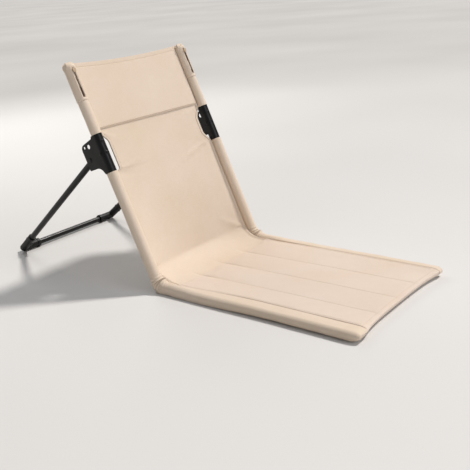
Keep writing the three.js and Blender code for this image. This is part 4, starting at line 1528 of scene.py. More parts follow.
@dataclass
class SleeveTop:
    """The upper sleeve of one side, above the bracket, with its zipped cap."""

    chair: ChairFrame
    finishes: Finishes
    repeats: Repeats
    side: Side
    slim: float = 0.0004             # by which the upper sleeve is slimmer than the long one
    end_wall: float = 0.0014         # and its ends
    turn_in: float = 0.006           # how far its hems turn in
    cap_turn_in: float = 0.008
    step: float = 0.0007             # by which the cap is fatter than the sleeve under it
    close: float = 0.013             # length over which the cap's end is folded shut
    close_half: float = 0.0045       # half its thickness at the top
    close_power: float = 1.4
    end_widen: float = 0.0012        # of the flattened end
    widen_power: float = 1.5
    corner_drop: float = 0.0055      # by which its corners lie below its middle
    corner_power: int = 5
    lid_share: float = 0.55          # size of its last fold
    lid_lift: float = 0.0006
    hem_depth: float = 0.0007        # by which the cap's lower edge draws in
    hem_run: float = 0.0012
    seam_depth: float = 0.0004       # of the stitched line above it
    seam_place: float = 0.006
    seam_width: float = 0.0009
    uneven: float = 0.0005
    uneven_size: float = 0.030
    cap_uneven_size: float = 0.022
    seed: float = 21.0
    cap_seed: float = 5.3
    recess: float = 0.0012           # of the zip's groove
    groove: tuple[float, float] = (0.0036, 0.0048)   # half widths of its floor and of its rim
    groove_end: float = 0.003
    lip: float = 0.0008
    lip_inset: float = 0.0056        # from the zip's middle
    lip_width: float = 0.0011
    dart_height: float = 0.0017      # of the triangular folds at the closed end
    dart_width: float = 0.0012
    dart_half: float = 0.011         # half their spread at the top
    dart_slope: float = 0.55
    dart_start: float = 0.003        # below the top
    dart_run: tuple[float, float] = (0.012, 0.021)   # where they fade, below that
    dart_over: float = 0.004
    tape_half: float = 0.0041
    tape_crown: float = 0.0004
    tape_curve: float = 0.0005
    tape_thickness: float = 0.0008
    coil: tuple[float, ...] = (0.0024, 0.0017, 0.0024, 0.0013)   # pitch, length, width and height
    coil_offset: float = 0.0009      # of its two rows from the zip's middle, and above the tape's node
    coil_ends: tuple[float, float] = (0.003, 0.002)  # what they leave free
    coil_points: int = 12
    coil_seed: int = 3
    bore: float = 0.0099
    sides: int = 64
    steps: Steps = Steps(0.005, 0.0008, 0.006)
    cap_steps: Steps = Steps(0.004, 0.0007, 0.007)
    zip_steps: Steps = Steps(0.002)

    def __post_init__(self) -> None:
        """Measures the nodes that the pieces stand for."""
        chair, word = self.chair, self.side.word
        self.low, self.high = chair.span(f"back_sleeve_upper_{word}", chair.up)
        self.cap_low, self.top = chair.span(f"back_sleeve_cap_{word}", chair.up)
        self.zip_low, self.zip_high = chair.span(f"zip_tape_{word}", chair.up)
        tape = chair.points(f"zip_tape_{word}")
        middle = (tape.min(axis=0) + tape.max(axis=0)) / 2
        out, front = self.side.value * middle[0] - chair.tube_x, float(middle @ chair.front)
        self.zip_angle, self.tape_lift = math.atan2(out, front), math.hypot(out, front)

    def rings(self, places: np.ndarray, high: np.ndarray | float, wide: np.ndarray | float) -> np.ndarray:
        """Rings round the tube.

        Args:
            places: Places up the back, as a column or for each point.
            high: Half sizes towards the sitter.
            wide: Half sizes across the chair.

        Returns:
            Rows of ring points.
        """
        angle = turns(self.sides)
        x = self.side.value * (self.chair.tube_x + wide * np.sin(angle))
        return self.chair.on_back(x, places, high * np.cos(angle))

    def build(self) -> None:
        """Builds and dresses the upper sleeve, the cap and the zip."""
        self.build_upper()
        self.build_cap()
        self.build_zip()

    def build_upper(self) -> None:
        """The short sleeve between bracket and cap."""
        radius = self.chair.radius - self.slim
        places = self.steps.spread(self.low, self.high, (self.low, self.high))[:, None]
        outer = roughened(self.rings(places, radius, radius), self.uneven, self.uneven_size, self.seed)
        size = np.array([[self.chair.radius - self.end_wall], [self.bore], [self.bore]])
        depth = np.array([[0.0], [0.0], [self.turn_in]])
        low, high = self.rings(self.low + depth, size, size), self.rings(self.high - depth, size, size)
        rows = np.concatenate([low[::-1], outer, high])
        piece = cloth_object(f"upper_sleeve_{self.side.word}", [Patch(rows, round=True)], sharp=70)
        dressed(piece, self.finishes.canvas)
        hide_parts(f"back_sleeve_upper_{self.side.word}")
        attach(piece, "back")
        report(piece)

    def zip_relief(self, place: np.ndarray, turn: np.ndarray) -> np.ndarray:
        """How far the cap's surface rises at the zip's lips or sinks under its tape.

        Args:
            place: Distance up the back from the bend.
            turn: Angle round the cap, from its front.

        Returns:
            The height at each point.
        """
        across = np.abs(turned_by(turn - self.zip_angle)) * self.chair.radius
        low, high = self.zip_low - self.groove_end, self.zip_high + self.groove_end
        inside = ramp(place, low, self.zip_low) * ramp(-place, -high, -self.zip_high)
        lips = self.lip * bell(across - self.lip_inset, self.lip_width)
        return inside * (lips - self.recess * (1 - ramp(across, *self.groove)))

    def hem_relief(self, place: np.ndarray) -> np.ndarray:
        """How far the cap's surface sinks at its lower edge and at the stitches above it.

        Args:
            place: Distance up the back from the bend.

        Returns:
            The height at each point.
        """
        above = place - self.cap_low
        seam = self.seam_depth * bell(above - self.seam_place, self.seam_width)
        return -self.hem_depth * (1 - ramp(above, 0, self.hem_run)) - seam

    def dart_relief(self, place: np.ndarray, turn: np.ndarray) -> np.ndarray:
        """Height of the triangular folds on the outer and the inner side of the closed end.

        Args:
            place: Distance up the back from the bend.
            turn: Angle round the cap, from its front.

        Returns:
            The height at each point.
        """
        below = self.top - self.dart_start - place
        edge = np.clip(self.dart_half - below * self.dart_slope, 0, None)
        near, far = self.dart_run
        whole = self.dart_height * ramp(-below, -far, -near) * (below > -self.dart_over)
        offs = [np.abs(turned_by(turn - centre)) * self.chair.radius for centre in (0.5 * np.pi, 1.5 * np.pi)]
        return whole * sum(bell(off - edge, self.dart_width) for off in offs)

    def build_cap(self) -> None:
        """The removable top, folded shut like a parcel."""
        radius, word = self.chair.radius, self.side.word
        places = self.cap_steps.spread(self.cap_low, self.top,
                                       (self.cap_low, self.zip_low, self.zip_high, self.top))
        place, turn = np.meshgrid(places, turns(self.sides), indexing="ij")
        end = ramp(place, self.top - self.close, self.top)
        size = radius + self.step + self.hem_relief(place) + self.zip_relief(place, turn)
        size = size + self.dart_relief(place, turn)
        high = size + (self.close_half - radius) * end ** self.close_power
        wide = size + self.end_widen * end ** self.widen_power
        dropped = place - self.corner_drop * end ** 2 * np.abs(np.sin(turn)) ** self.corner_power
        seed = self.cap_seed + self.side.value
        outer = roughened(self.rings(dropped, high, wide), self.uneven, self.cap_uneven_size, seed)
        lower = self.rings(self.cap_low + np.array([[self.cap_turn_in], [0.0]]), self.bore, self.bore)
        middle = outer[-1:].mean(axis=1, keepdims=True)
        shut = middle + (outer[-1:] - middle) * self.lid_share + self.chair.up * self.lid_lift
        patches = [Patch(np.concatenate([lower, outer, shut]), round=True), lid(shut[0])]
        piece = cloth_object(f"sleeve_cap_{word}", patches, sharp=75)
        dressed(piece, self.finishes.canvas)
        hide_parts(f"back_sleeve_cap_{word}")
        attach(piece, "back")
        report(piece)

    def build_zip(self) -> None:
        """The zip's tape and its coil of teeth."""
        chair, word, across = self.chair, self.side.word, self.side.value * ACROSS
        sine, cosine = math.sin(self.zip_angle), math.cos(self.zip_angle)
        out, beside = sine * across + cosine * chair.front, cosine * across - sine * chair.front
        axis = chair.bend + across * chair.tube_x
        place, off = np.meshgrid(self.zip_steps.spread(self.zip_low, self.zip_high),
                                 np.linspace(-self.tape_half, self.tape_half, 11), indexing="ij")
        lift = self.tape_lift + self.tape_crown - self.tape_curve * (off / self.tape_half) ** 2
        front = axis + place[..., None] * chair.up + off[..., None] * beside + lift[..., None] * out
        tape = cloth_object(f"zip_band_{word}", slab(front, front - out * self.tape_thickness))
        dressed(tape, self.finishes.dark_tape)
        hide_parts(f"zip_tape_{word}")
        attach(tape, "back")
        report(tape)
        low, high = self.zip_low + self.coil_ends[0], self.zip_high - self.coil_ends[1]
        run = np.linspace(low, high, self.coil_points)[:, None]
        middle = axis + run * chair.up + out * (self.tape_lift + self.coil_offset)
        lines = [middle - beside * self.coil_offset, (middle + beside * self.coil_offset)[::-1]]
        normals = [np.broadcast_to(out, line.shape) for line in lines]
        teeth = self.repeats.along(f"zip_teeth_{word}", self.repeats.tooth, lines, normals,
                                   self.finishes.coil, self.coil, self.coil_seed)
        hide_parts(f"zip_chain_{word}")
        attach(teeth, "back")
        report(teeth)


# Mat

@dataclass
class SeatMat:
    """The quilted mat: a shallow pad with three sewn lines, level with the sleeves towards its front.

    Its runs are pairs of shares of its length, or of distances, between which a shape changes.
    """

    chair: ChairFrame
    finishes: Finishes
    back: BackCloth
    sleeves: dict
    crown: float = 0.0188            # height of a strip above the ground
    seam_depth: float = 0.0036
    seam_width: float = 0.011
    seam_fade_share: float = 0.4     # of that depth, left at the front
    seam_fade: tuple[float, float] = (0.1, 0.9)
    seam_start: float = 0.02         # length over which the seams deepen to the whole, from the rear
    crease: float = 0.0014           # sharp line at the thread
    crease_width: float = 0.0011
    crease_fade_share: float = 0.2
    crease_fade: tuple[float, float] = (0.05, 0.6)
    side_low: float = 0.0195         # height beside a sleeve, at the rear
    side_high: float = 0.0221        # and from a third of the way on
    side_run: tuple[float, float] = (0.03, 0.38)
    side_width: float = 0.020
    side_power: float = 1.6
    side_dip: float = 0.0010         # of its rounded edge
    side_round: float = 0.0030
    rear_overlap: float = 0.02
    rear_rise: float = 0.060
    hem: float = 0.009               # from the front edge to its stitches
    hem_depth: float = 0.0004
    hem_width: float = 0.0012
    front_gap: float = 0.001
    front_sag: float = 0.010
    front_power: int = 4
    strips: int = 4
    sewn_half: float = 0.0007        # half the width that a seam holds down
    sewn_side: float = 0.0035        # width held at the sides
    sewn_low: float = 0.001          # height up to which the ground holds it
    sewn_rear: tuple[float, float] = (0.004, 0.05)   # distances from the rear over which it comes free
    sewn_front: tuple[float, float] = (0.040, 0.030)  # and from the front, over which it is held again
    columns: Steps = Steps(0.006, 0.0009, 0.010)
    rows: Steps = Steps(0.0062, 0.0012, 0.024)
    air: Air = Air(pressure=3.0, shrink=0.012)

    def __post_init__(self) -> None:
        """Measures the nodes that the mat stands for."""
        chair = self.chair
        self.sleeve = self.sleeves[Side.RIGHT]
        self.length = self.sleeve.seat_length
        self.half = chair.tube_x - chair.radius - TOUCH
        self.axis = float(chair.bend[2])
        self.start = self.back.reach
        self.seams = even_seams(self.half, self.strips - 1)

    def left_edge(self, place: np.ndarray) -> np.ndarray:
        """The mat's left edge, beside the wider sleeve."""
        return -(self.chair.tube_x - self.sleeves[Side.LEFT].inner_reach(place) - TOUCH)

    def front_edge(self, w: np.ndarray) -> np.ndarray:
        """Where the mat ends, hollowed in the middle."""
        return self.length - self.front_gap - self.front_sag * (1 - w ** self.front_power)

    def off_seam(self, x: np.ndarray) -> np.ndarray:
        """Distance to the nearest seam."""
        return np.min([np.abs(x - seam) for seam in self.seams], axis=0)

    def off_side(self, x: np.ndarray, place: np.ndarray) -> np.ndarray:
        """Distance to the nearer side edge."""
        return np.minimum(self.half - x, x - self.left_edge(place))

    def seam_dip(self, x: np.ndarray, place: np.ndarray) -> np.ndarray:
        """How far the seams draw the top down.

        Args:
            x: Distance across the chair.
            place: Distance forward from the bend.

        Returns:
            The dip at each point.
        """
        share = (place - self.start) / (self.length - self.start)
        depth = self.seam_depth * (1 - (1 - self.seam_fade_share) * ramp(share, *self.seam_fade))
        crease = self.crease * (1 - (1 - self.crease_fade_share) * ramp(share, *self.crease_fade))
        off = self.off_seam(x)
        dip = depth * pinch(off, self.seam_width) + crease * bell(off, self.crease_width)
        return dip * (0.5 + 0.5 * ramp(place, self.start, self.start + self.seam_start))

    def height(self, x: np.ndarray, place: np.ndarray, w: np.ndarray) -> np.ndarray:
        """The top's height above the ground, before it is blown up.

        Args:
            x: Distance across the chair.
            place: Distance forward from the bend.
            w: From -1 at the left edge to 1 at the right.

        Returns:
            The height at each point.
        """
        share = (place - self.start) / (self.length - self.start)
        side = self.off_side(x, place)
        rim = self.side_low + (self.side_high - self.side_low) * ramp(share, *self.side_run)
        top = self.crown + (rim - self.crown) * pinch(side, self.side_width, self.side_power)
        top = top - self.side_dip * (1 - rounding(side, self.side_round))
        rear = self.axis + self.back.level_at_mat(w)
        risen = ramp(place, self.start - self.rear_overlap, self.start + self.rear_rise)
        raised = rear + (top - rear) * risen - self.seam_dip(x, place)
        raised = raised + sum(wrinkle.at(x, place) for wrinkle in GATHERED)
        before = self.front_edge(w) - place
        hem_top = self.axis + self.sleeve.hem_rise + self.sleeve.hem_half
        rounded = hem_top + (raised - hem_top) * self.sleeve.front_share(self.length - before)
        return rounded - self.hem_depth * bell(before - self.hem, self.hem_width)

    def bottom(self, top: np.ndarray) -> np.ndarray:
        """The underside: on the ground, and up at the front to the hem that the tubes' ends hold.

        Args:
            top: The top's points.

        Returns:
            The underside's points.
        """
        before = self.front_edge(top[..., 0] / self.half) - self.chair.forward_of(top)
        hem_low = self.axis + self.sleeve.hem_rise - self.sleeve.hem_half
        result = top.copy()
        result[..., 2] = hem_low * (1 - self.sleeve.front_share(self.length - before))
        return result

    def top_grid(self) -> np.ndarray:
        """The top, as rows from the bend to the front.

        Returns:
            Rows by columns by 3.
        """
        half, run, first = self.half, self.length - self.start, self.seams[0]
        columns = self.columns.spread(-half, half, (-half, *self.seams, half))
        x, share = np.meshgrid(columns, self.rows.spread(0, run, (0.0, run)) / run)
        w = x / half
        place = self.start + share * (self.front_edge(w) - self.start)
        narrower = (self.left_edge(place) - first) / (-half - first)
        x = np.where(x < first, first + (x - first) * narrower, x)
        return self.chair.on_seat(x, place, self.height(x, place, w) - self.axis)

    def held(self, piece: bpy.types.Object) -> np.ndarray:
        """How firmly each point of the pad is sewn down.

        Args:
            piece: The pad.

        Returns:
            For each point, from 0 where it is free to 1 where it is sewn down.
        """
        points = coordinates(piece.data)
        x, place = points[:, 0], self.chair.forward_of(points)
        seams = self.off_seam(x) < self.sewn_half
        edges = (self.off_side(x, place) < self.sewn_side) | (points[:, 2] < self.sewn_low)
        rear = 1 - ramp(place - self.start, *self.sewn_rear)
        front = ramp(place, *(self.length - inset for inset in self.sewn_front))
        return np.max([seams, edges, rear, front], axis=0)

    def build(self) -> None:
        """Builds the pad, blows it up between its seams and dresses it."""
        top = self.top_grid()
        piece = cloth_object("seat_mat", slab(top, self.bottom(top)), sharp=60)
        self.air.blow_up(piece, self.held(piece))
        # The mat's canvas is painted paler and less warm than the back's, as painted sky light.
        dressed(piece, self.finishes.quilted_canvas)
        foams = [f"seat_foam_{i + 1}" for i in range(self.strips)]
        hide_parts("seat_cover", "seat_bottom_cloth", *foams)
        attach(piece, "seat")
        report(piece)
        self.piece = piece


# Headrest

@dataclass
class Headrest:
    """The padded headrest, sewn to the front of the back cloth."""

    chair: ChairFrame
    finishes: Finishes
    back: BackCloth
    crown: float = 0.0060
    crown_share: float = 0.75        # of it, before the pad is blown up
    crown_start: float = 0.004       # past the side edge
    crown_run: float = 0.030         # length over which it rises from the sides and from the hem
    seam_width: float = 0.012
    edge_height: float = 0.0019
    edge_share: float = 0.25         # of it, left at the very edge
    edge_gap: float = 0.0007         # between the pad's sides and the sleeves
    side_round: float = 0.0030
    low_round: float = 0.0028
    hem: float = 0.0095              # from the top edge to the stitches of its hem
    hem_start: float = 0.001
    hem_depth: float = 0.0005
    hem_width: float = 0.0010
    fold: float = 0.0006             # height of the fold along the sides, and depth of the dip beside it
    fold_place: tuple[float, float] = (0.0045, 0.0016)   # inset and width
    dip_place: tuple[float, float] = (0.0085, 0.0012)
    base: float = 0.0008             # of its rear, before the cloth
    sewn_rear: float = 0.0010        # thickness that stays with the cloth
    sewn_side: tuple[float, float] = (0.002, 0.014)  # distances from its edges over which it comes free
    sewn_seam: tuple[float, float] = (0.001, 0.010)
    sewn_hem: tuple[float, float] = (0.002, 0.012)
    columns: Steps = Steps(0.006, 0.001, 0.012)
    rows: Steps = Steps(0.0055, 0.001, 0.010)
    air: Air = Air(pressure=2.5, shrink=0.01)

    def __post_init__(self) -> None:
        """Measures the node that the pad stands for."""
        chair = self.chair
        self.low = chair.span("headrest_cover", chair.up)[0]
        self.half = chair.tube_x - chair.radius - self.edge_gap
        self.top = self.back.hem_top

    def height(self, x: np.ndarray, place: np.ndarray) -> np.ndarray:
        """Height of the pad's front over its rear, before it is blown up.

        Args:
            x: Distance across the chair.
            place: Distance up the back from the bend.

        Returns:
            The height at each point.
        """
        off, above, below = self.half - np.abs(x), place - self.low, self.top - self.hem - place
        rise = ramp(off, -self.crown_start, self.crown_run) * ramp(below, -self.hem_start, self.crown_run)
        rise = rise * (1 - pinch(above, self.seam_width))
        rounded = rounding(off, self.side_round) * rounding(above, self.low_round)
        height = self.edge_height + self.crown * self.crown_share * rise
        height = height * (self.edge_share + (1 - self.edge_share) * rounded)
        fold, dip = (bell(off - inset, width) for inset, width in (self.fold_place, self.dip_place))
        return height - self.hem_depth * bell(below, self.hem_width) + self.fold * (fold - dip)

    def build(self) -> None:
        """Builds the pad, blows it up and dresses it."""
        dense = (self.low, self.top - self.hem, self.top)
        x, place = np.meshgrid(self.columns.spread(-self.half, self.half, (-self.half, self.half)),
                               self.rows.spread(self.low, self.top, dense))
        w = x / self.half
        lift, sagged = self.back.lift(w, place) + self.base, place * self.back.stretch(w, place)
        front = self.chair.on_back(x, sagged, lift + self.height(x, place))
        piece = cloth_object("headrest_pad", slab(front, self.chair.on_back(x, sagged, lift)), sharp=60)
        self.air.blow_up(piece, self.held(piece))
        dressed(piece, self.finishes.canvas)
        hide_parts("headrest_cover", "headrest_foam")
        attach(piece, "back")
        report(piece)
        self.piece = piece

    def held(self, piece: bpy.types.Object) -> np.ndarray:
        """How firmly each point of the pad is sewn down.

        Args:
            piece: The pad.

        Returns:
            For each point, from 0 where it is free to 1 where it is sewn down.
        """
        local = coordinates(piece.data) - self.chair.bend
        x, place, lift = local[:, 0], local @ self.chair.up, local @ self.chair.front
        rear = lift < self.back.lift(x / self.half, place) + self.base + self.sewn_rear
        side = 1 - ramp(self.half - np.abs(x), *self.sewn_side)
        seam = 1 - ramp(place - self.low, *self.sewn_seam)
        near, far = self.sewn_hem
        hem = ramp(place - self.top + self.hem, -far, -near)
        return np.max([rear, side, seam, hem], axis=0)


# Sewn edges and stitches

@dataclass
class Binding:
    """The grosgrain tape folded round the cloth's edge where it is cut out beside a bracket."""

    chair: ChairFrame
    finishes: Finishes
    back: BackCloth
    side: Side
    past_low: float = 0.003          # how far it runs on below the bracket
    past_high: float = 0.005
    reach_in: float = 0.0052         # over the cloth
    reach_out: float = 0.0016        # past its edge
    thickness: float = 0.0008
    full: float = 1.15               # its thickness where it is fullest, and at its fold
    folded: float = 0.6
    bulge_in: float = 0.002          # where it is fullest, in from the edge
    corner: float = 0.0006           # by which its fold is rounded
    clearance: float = 0.00005       # from the cloth inside it
    steps: Steps = Steps(0.003)

    def build(self) -> None:
        """Builds and dresses the tape."""
        back = self.back
        low, high = back.bracket_low - self.past_low, back.bracket_high + self.past_high
        places = self.steps.spread(low, high)[:, None]
        edge, loop = back.edge - back.cutout(places, self.side), self.loop()
        across = edge + loop[:, 0]
        front = back.lift(np.clip(across / edge, 0, 1), places)
        rings = self.chair.on_back(self.side.value * across, places, front + loop[:, 1])
        piece = cloth_object(f"cutout_binding_{self.side.word}", tube(rings), sharp=60)
        dressed(piece, self.finishes.tape)
        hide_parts(f"edge_binding_{self.side.word}")
        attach(piece, "back")
        report(piece)

    def loop(self) -> np.ndarray:
        """The tape's closed outline: over the front, round the edge, over the rear and back inside.

        Returns:
            Each corner's distance outwards from the cloth's edge, and in front of the cloth.
        """
        wall, end, bulge, corner = self.thickness, self.reach_in, self.bulge_in, self.corner
        turn, middle, rear = self.reach_out - corner, -self.back.thickness / 2, -self.back.thickness
        full, folded = wall * self.full, wall * self.folded
        outside = [(-end, wall), (-bulge, full), (turn, folded), (self.reach_out, middle),
                   (turn, rear - folded), (-bulge, rear - full), (-end, rear - wall)]
        low, high = rear - self.clearance, self.clearance
        inside = [(-end, low), (-corner, low), (TOUCH, middle), (-corner, high), (-end, high)]
        return np.array(outside + inside)


@dataclass
class Piping:
    """The folded seam allowance along a seat sleeve: low on the left and high on the right.

    The cover sits twisted on the tubes, which carries the seam under on one side and over on the other.
    """

    chair: ChairFrame
    finishes: Finishes
    sleeve: SideSleeve
    radius: float = 0.0013
    lift_share: float = 0.2          # of the radius, by which it stands off the sleeve
    left_turn: float = 130.0         # degrees round the sleeve, from its top outwards
    right_turn: float = 52.0
    rear_gap: float = 0.001
    front_gap: float = 0.008
    wave: float = 0.0007
    wave_rates: tuple[float, float] = (97.0, 31.0)
    sides: int = 10

    def build(self) -> None:
        """Builds and dresses the piping."""
        sleeve = self.sleeve
        degrees = self.left_turn if sleeve.side is Side.LEFT else self.right_turn
        column = round(degrees / 360 * sleeve.sides)
        low, high = sleeve.seat_reach + self.rear_gap, sleeve.seat_length - self.front_gap
        rows = (sleeve.places > low) & (sleeve.places < high)
        line = sleeve.outer[rows, column]
        out = facing_out(sleeve.outer[rows])[:, column]
        beside = np.cross(FORWARD, out)
        fast, slow = (line[:, 1] * rate for rate in self.wave_rates)
        wave = self.wave * np.sin(fast) * np.sin(slow + sleeve.side.value)
        line = line + beside * wave[:, None] + out * (self.radius * self.lift_share)
        turn = turns(self.sides)[:, None]
        rings = line[:, None] + self.radius * (out[:, None] * np.cos(turn) + beside[:, None] * np.sin(turn))
        rings[..., 2] = np.maximum(rings[..., 2], 0.0)
        piece = cloth_object(f"seat_piping_{sleeve.side.word}", tube(rings))
        dressed(piece, self.finishes.canvas)
        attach(piece, "seat")
        report(piece)


@dataclass
class Needlework:
    """Rows of stitches laid on finished pieces."""

    repeats: Repeats
    lift: float = 0.00015
    pitch: float = 0.0038            # from stitch to stitch
    length_share: float = 0.78
    thread: float = 0.0008
    seed: int = 7

    def laid(self, piece: bpy.types.Object, line: np.ndarray, towards: np.ndarray
             ) -> tuple[np.ndarray, np.ndarray]:
        """Drops a line onto a piece.

        Args:
            piece: The piece under the line.
            line: Points above it.
            towards: Direction to the piece.

        Returns:
            The points on the piece, and its facing there.
        """
        places, normals = [], []
        for point in line:
            found, place, normal, _ = piece.ray_cast(Vector(point), Vector(towards))
            if found:
                places.append(np.array(place + normal * self.lift))
                normals.append(np.array(normal))
        return np.array(places), np.array(normals)

    def rows(self, name: str, piece: bpy.types.Object, lines: Sequence[np.ndarray], towards: np.ndarray,
             finish: bpy.types.Material) -> bpy.types.Object:
        """Sews rows of stitches on a piece.

        Args:
            name: The stitches' name.
            piece: The piece that they are sewn on.
            lines: Lines above the piece.
            towards: Direction from the lines to the piece.
            finish: The thread's material.

        Returns:
            The stitches, as one mesh.
        """
        bpy.context.view_layer.update()
        laid = [self.laid(piece, line, towards) for line in lines]
        points, normals = zip(*(row for row in laid if len(row[0]) > 1))
        sizes = (self.pitch, self.pitch * self.length_share, self.thread, self.thread)
        sewn = self.repeats.along(name, self.repeats.stitch, points, normals, finish, sizes, self.seed)
        report(sewn)
        return sewn


@dataclass
class Seams:
    """Every visible row of stitches on the chair."""

    chair: ChairFrame
    finishes: Finishes
    back: BackCloth
    mat: SeatMat
    headrest: Headrest
    work: Needlework
    above_mat: float = 0.05          # where the lines start that are dropped onto it
    before_back: float = 0.03
    side_inset: float = 0.0048       # of the rows on the mat beside the sleeves
    ridge_inset: float = 0.0042      # of the rows on the back, from the seam ridge
    binding_inset: float = 0.0058
    pad_seam: float = 0.0030         # of the row on the pad, above its lower edge
    short_end: float = 0.003         # what the rows leave free at the bend and at the pad's sides
    plain_end: float = 0.004         # beside a bracket and at the mat's sides
    hem_end: float = 0.012           # and before a hem
    steps: Steps = Steps(0.006)
    short_steps: Steps = Steps(0.004)

    def build(self) -> None:
        """Sews the mat, the back and the headrest."""
        self.sew_mat()
        self.sew_back()
        self.sew_headrest()

    def sew_mat(self) -> None:
        """The quilting rows, the rows beside the sleeves and the front hem."""
        chair, mat, above = self.chair, self.mat, self.above_mat
        places = self.steps.spread(mat.start + self.short_end, mat.length - mat.hem - self.hem_end)
        quilting = [chair.on_seat(x, places, above) for x in mat.seams]
        sides = (mat.left_edge(places) + self.side_inset, mat.half - self.side_inset)
        beside = [chair.on_seat(x, places, above) for x in sides]
        across = self.steps.spread(-mat.half + self.plain_end, mat.half - self.plain_end)
        hem = [chair.on_seat(across, mat.front_edge(across / mat.half) - mat.hem, above)]
        for name, lines in (("quilting_stitches", quilting), ("mat_side_stitches", beside),
                            ("front_hem_stitches", hem)):
            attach(self.work.rows(name, mat.piece, lines, DOWN, self.finishes.thread), "seat")

    def sew_back(self) -> None:
        """The rows beside the sleeves, and those that hold the bindings."""
        chair, back = self.chair, self.back
        below = self.steps.spread(back.reach + self.plain_end, back.bracket_low - self.plain_end)
        above = self.steps.spread(back.bracket_high + self.plain_end, back.top - self.hem_end)
        cut = self.short_steps.spread(back.bracket_low + self.plain_end, back.bracket_high - self.plain_end)
        inset = back.ridge_inset + self.ridge_inset
        beside = [chair.on_back(side.value * (back.edge - inset), places, self.before_back)
                  for side in Side for places in (below, above)]
        binding = [chair.on_back(side.value * (back.edge - back.cutout(cut, side) - self.binding_inset), cut,
                                 self.before_back) for side in Side]
        # The binding rows are in the brown thread, which also paints the shadow line beside the bound edge.
        for name, lines, thread in (("back_side_stitches", beside, self.finishes.thread),
                                    ("binding_stitches", binding, self.finishes.seam_thread)):
            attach(self.work.rows(name, back.piece, lines, -chair.front, thread), "back")

    def sew_headrest(self) -> None:
        """The row over the pad's lower edge and the row of the top hem."""
        chair, pad, before = self.chair, self.headrest, self.before_back
        across = self.steps.spread(-pad.half + self.short_end, pad.half - self.short_end)
        dip = 1 - self.back.top_sag * (1 - (across / pad.half) ** 2) / self.back.top
        seam = chair.on_back(across, pad.low + self.pad_seam, before)
        hem = chair.on_back(across, (pad.top - pad.hem) * dip, before)
        # The pad's seam row is in the brown thread, which also paints the shadow line under the pad's edge.
        for name, line, thread in (("headrest_seam_stitches", seam, self.finishes.seam_thread),
                                   ("top_hem_stitches", hem, self.finishes.thread)):
            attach(self.work.rows(name, pad.piece, [line], -chair.front, thread), "back")


# Fittings

@dataclass
class Fittings:
    """The hard pieces: brackets, stand, connectors, sliders and everything inside the sleeves."""

    chair: ChairFrame
    finishes: Finishes
    frame: dict
    edge_angle: float = 32.0         # least angle of an edge that stays sharp or is rounded, in degrees
    flat_angle: float = 1.0          # most that faces of one plane may differ

    def softened(self, node: str, name: str, width: float) -> bpy.types.Object:
        """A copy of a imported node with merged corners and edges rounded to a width.

        Args:
            node: The node to copy.
            name: The new piece's name.
            width: Width of the rounding.

        Returns:
            The new piece.
        """
        mesh = self.chair.nodes[node].data.copy()
        build = bmesh.new()
        build.from_mesh(mesh)
        bmesh.ops.remove_doubles(build, verts=build.verts, dist=MERGE)
        bmesh.ops.dissolve_limit(build, angle_limit=math.radians(self.flat_angle), verts=build.verts,
                                 edges=build.edges)
        build.to_mesh(mesh)
        build.free()
        piece = shown(name, mesh, self.edge_angle)
        bevel = piece.modifiers.new("rounding", "BEVEL")
        bevel.width = width
        bevel.segments = 2
        bevel.limit_method = "ANGLE"
        bevel.angle_limit = math.radians(self.edge_angle)
        bevel.use_clamp_overlap = True
        bevel.harden_normals = False
        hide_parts(node)
        return piece

    def build(self) -> None:
        """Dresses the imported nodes, and rounds the edges of those that show most."""
        record = self.frame["record"]
        body_of = {node: body for body, nodes in record["behaviour"]["bodies"].items() for node in nodes}
        slot_of = {part["node"]: Slot(part["material_slot"]) for part in record["subparts"]}
        for node, piece in self.frame["nodes"].items():
            piece.data.shade_smooth()
            piece.data.set_sharp_from_angle(angle=math.radians(self.edge_angle))
            dressed(piece, self.finishes.by_slot[slot_of[node]])
        for word in (side.word for side in Side):
            for node, name, width in ((f"bracket_{word}", f"folded_bracket_{word}", 0.0006),
                                      (f"corner_connector_{word}", f"moulded_connector_{word}", 0.0008),
                                      (f"zip_slider_{word}", f"slider_body_{word}", 0.0004)):
                piece, slot = self.softened(node, name, width), slot_of[node]
                lacquered = slot is Slot.ZINC
                dressed(piece, self.finishes.lacquer if lacquered else self.finishes.by_slot[slot])
                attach(piece, body_of[node])
                report(piece)


# Studio

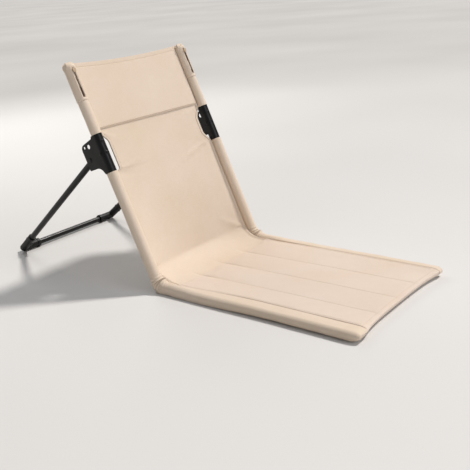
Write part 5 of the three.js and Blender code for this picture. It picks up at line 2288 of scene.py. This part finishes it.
@dataclass(frozen=True)
class Studio:
    """Plain pale floor, soft light and the camera at the photograph's view."""

    camera_place: tuple[float, float, float] = (-1.3200, -1.1637, 0.6724)
    azimuth: float = -50.95
    elevation: float = 18.90
    roll: float = -4.28
    lens: float = 57.71
    sensor: float = 36.0
    floor_size: float = 160.0
    floor_drop: float = 0.0005       # below the ground, so that nothing shares its plane
    aim: tuple[float, float, float] = (0.0, 0.0, 0.2)
    sky: float = 0.36

    def camera(self) -> None:
        """Adds the camera."""
        azimuth, elevation, roll = (math.radians(a) for a in (self.azimuth, self.elevation, self.roll))
        back = Vector((math.sin(azimuth) * math.cos(elevation), -math.cos(azimuth) * math.cos(elevation),
                       math.sin(elevation)))
        right = Vector((math.cos(azimuth), math.sin(azimuth), 0))
        turned = right * math.cos(roll) + back.cross(right) * math.sin(roll)
        data = bpy.data.cameras.new("camera")
        data.sensor_width = self.sensor
        data.lens = self.lens
        camera = linked("camera", data)
        axes = Matrix((turned, back.cross(turned), back)).transposed()
        camera.matrix_world = Matrix.Translation(self.camera_place) @ axes.to_4x4()
        bpy.context.scene.camera = camera

    def floor(self) -> None:
        """Adds the floor."""
        mesh = bpy.data.meshes.new("floor")
        half = self.floor_size / 2
        corners = [(x * half, y * half, 0) for x, y in ((-1, -1), (1, -1), (1, 1), (-1, 1))]
        mesh.from_pydata(corners, [], [(0, 1, 2, 3)])
        floor = linked("floor", mesh)
        floor.location.z = -self.floor_drop
        mesh.materials.append(Grained("pale_floor", "c2c1bf", 0.8, 2.0, 0.0, cloud=0.02).material())

    def lamp(self, name: str, kind: str, power: float, colour: str) -> bpy.types.Object:
        """Adds a lamp of a kind, a power and a colour.

        Args:
            name: The lamp's name.
            kind: AREA or SUN.
            power: Its power in watts, or a sun's strength.
            colour: Its colour, as six hex digits.

        Returns:
            The lamp.
        """
        data = bpy.data.lights.new(name, kind)
        data.energy = power
        data.color = linear(colour)[:3]
        return linked(name, data)

    def light(self, name: str, place: Sequence[float], size: float, power: float, colour: str) -> None:
        """Adds a soft light that faces the chair.

        Args:
            name: The light's name.
            place: Where it stands.
            size: Its width.
            power: Its power in watts.
            colour: Its colour, as six hex digits.
        """
        lamp = self.lamp(name, "AREA", power, colour)
        lamp.data.shape = "DISK"
        lamp.data.size = size
        lamp.location = place
        lamp.rotation_euler = (Vector(self.aim) - Vector(place)).to_track_quat("-Z", "Y").to_euler()

    def sun(self, name: str, towards: Sequence[float], strength: float, angle: float, colour: str) -> None:
        """Adds an even light from far away, as soft as its angle in degrees is wide.

        Args:
            name: The light's name.
            towards: Direction from the chair to it.
            strength: Its strength.
            angle: Its width in degrees.
            colour: Its colour, as six hex digits.
        """
        lamp = self.lamp(name, "SUN", strength, colour)
        lamp.data.angle = math.radians(angle)
        lamp.rotation_euler = Vector(towards).to_track_quat("Z", "Y").to_euler()

    def build(self) -> None:
        """Adds camera, floor, lights and sky."""
        self.camera()
        self.floor()
        self.sun("key", (0.50, -0.22, 0.84), 2.65, 7.0, "fffaf5")
        self.light("fill", (0.3, -3.6, 1.5), 2.2, 36, "f6f8ff")
        self.light("rim", (1.2, 2.6, 1.9), 1.6, 26, "ffffff")
        world = bpy.data.worlds.new("studio")
        world.use_nodes = True
        sky = world.node_tree.nodes["Background"]
        sky.inputs["Color"].default_value = linear("f6f6f8")
        sky.inputs["Strength"].default_value = self.sky
        bpy.context.scene.world = world
        bpy.context.scene.view_settings.view_transform = "Standard"


def main() -> None:
    """Builds the chair's looks in order."""
    logging.basicConfig(level=logging.INFO, format="%(name)s: %(message)s")
    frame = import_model()
    Studio().build()
    finishes = Finishes()
    repeats = Repeats()
    chair = ChairFrame.measured(frame)
    Fittings(chair, finishes, frame).build()
    back = BackCloth(chair, finishes)
    back.build()
    headrest = Headrest(chair, finishes, back)
    headrest.build()
    sleeves = {side: SideSleeve(chair, finishes, side) for side in Side}
    mat = SeatMat(chair, finishes, back, sleeves)
    mat.build()
    for side in Side:
        sleeves[side].build()
        Piping(chair, finishes, sleeves[side]).build()
        SleeveTop(chair, finishes, repeats, side).build()
        Binding(chair, finishes, back, side).build()
    Seams(chair, finishes, back, mat, headrest, Needlework(repeats)).build()
    repeats.cleared()


if __name__ == "__main__":
    main()
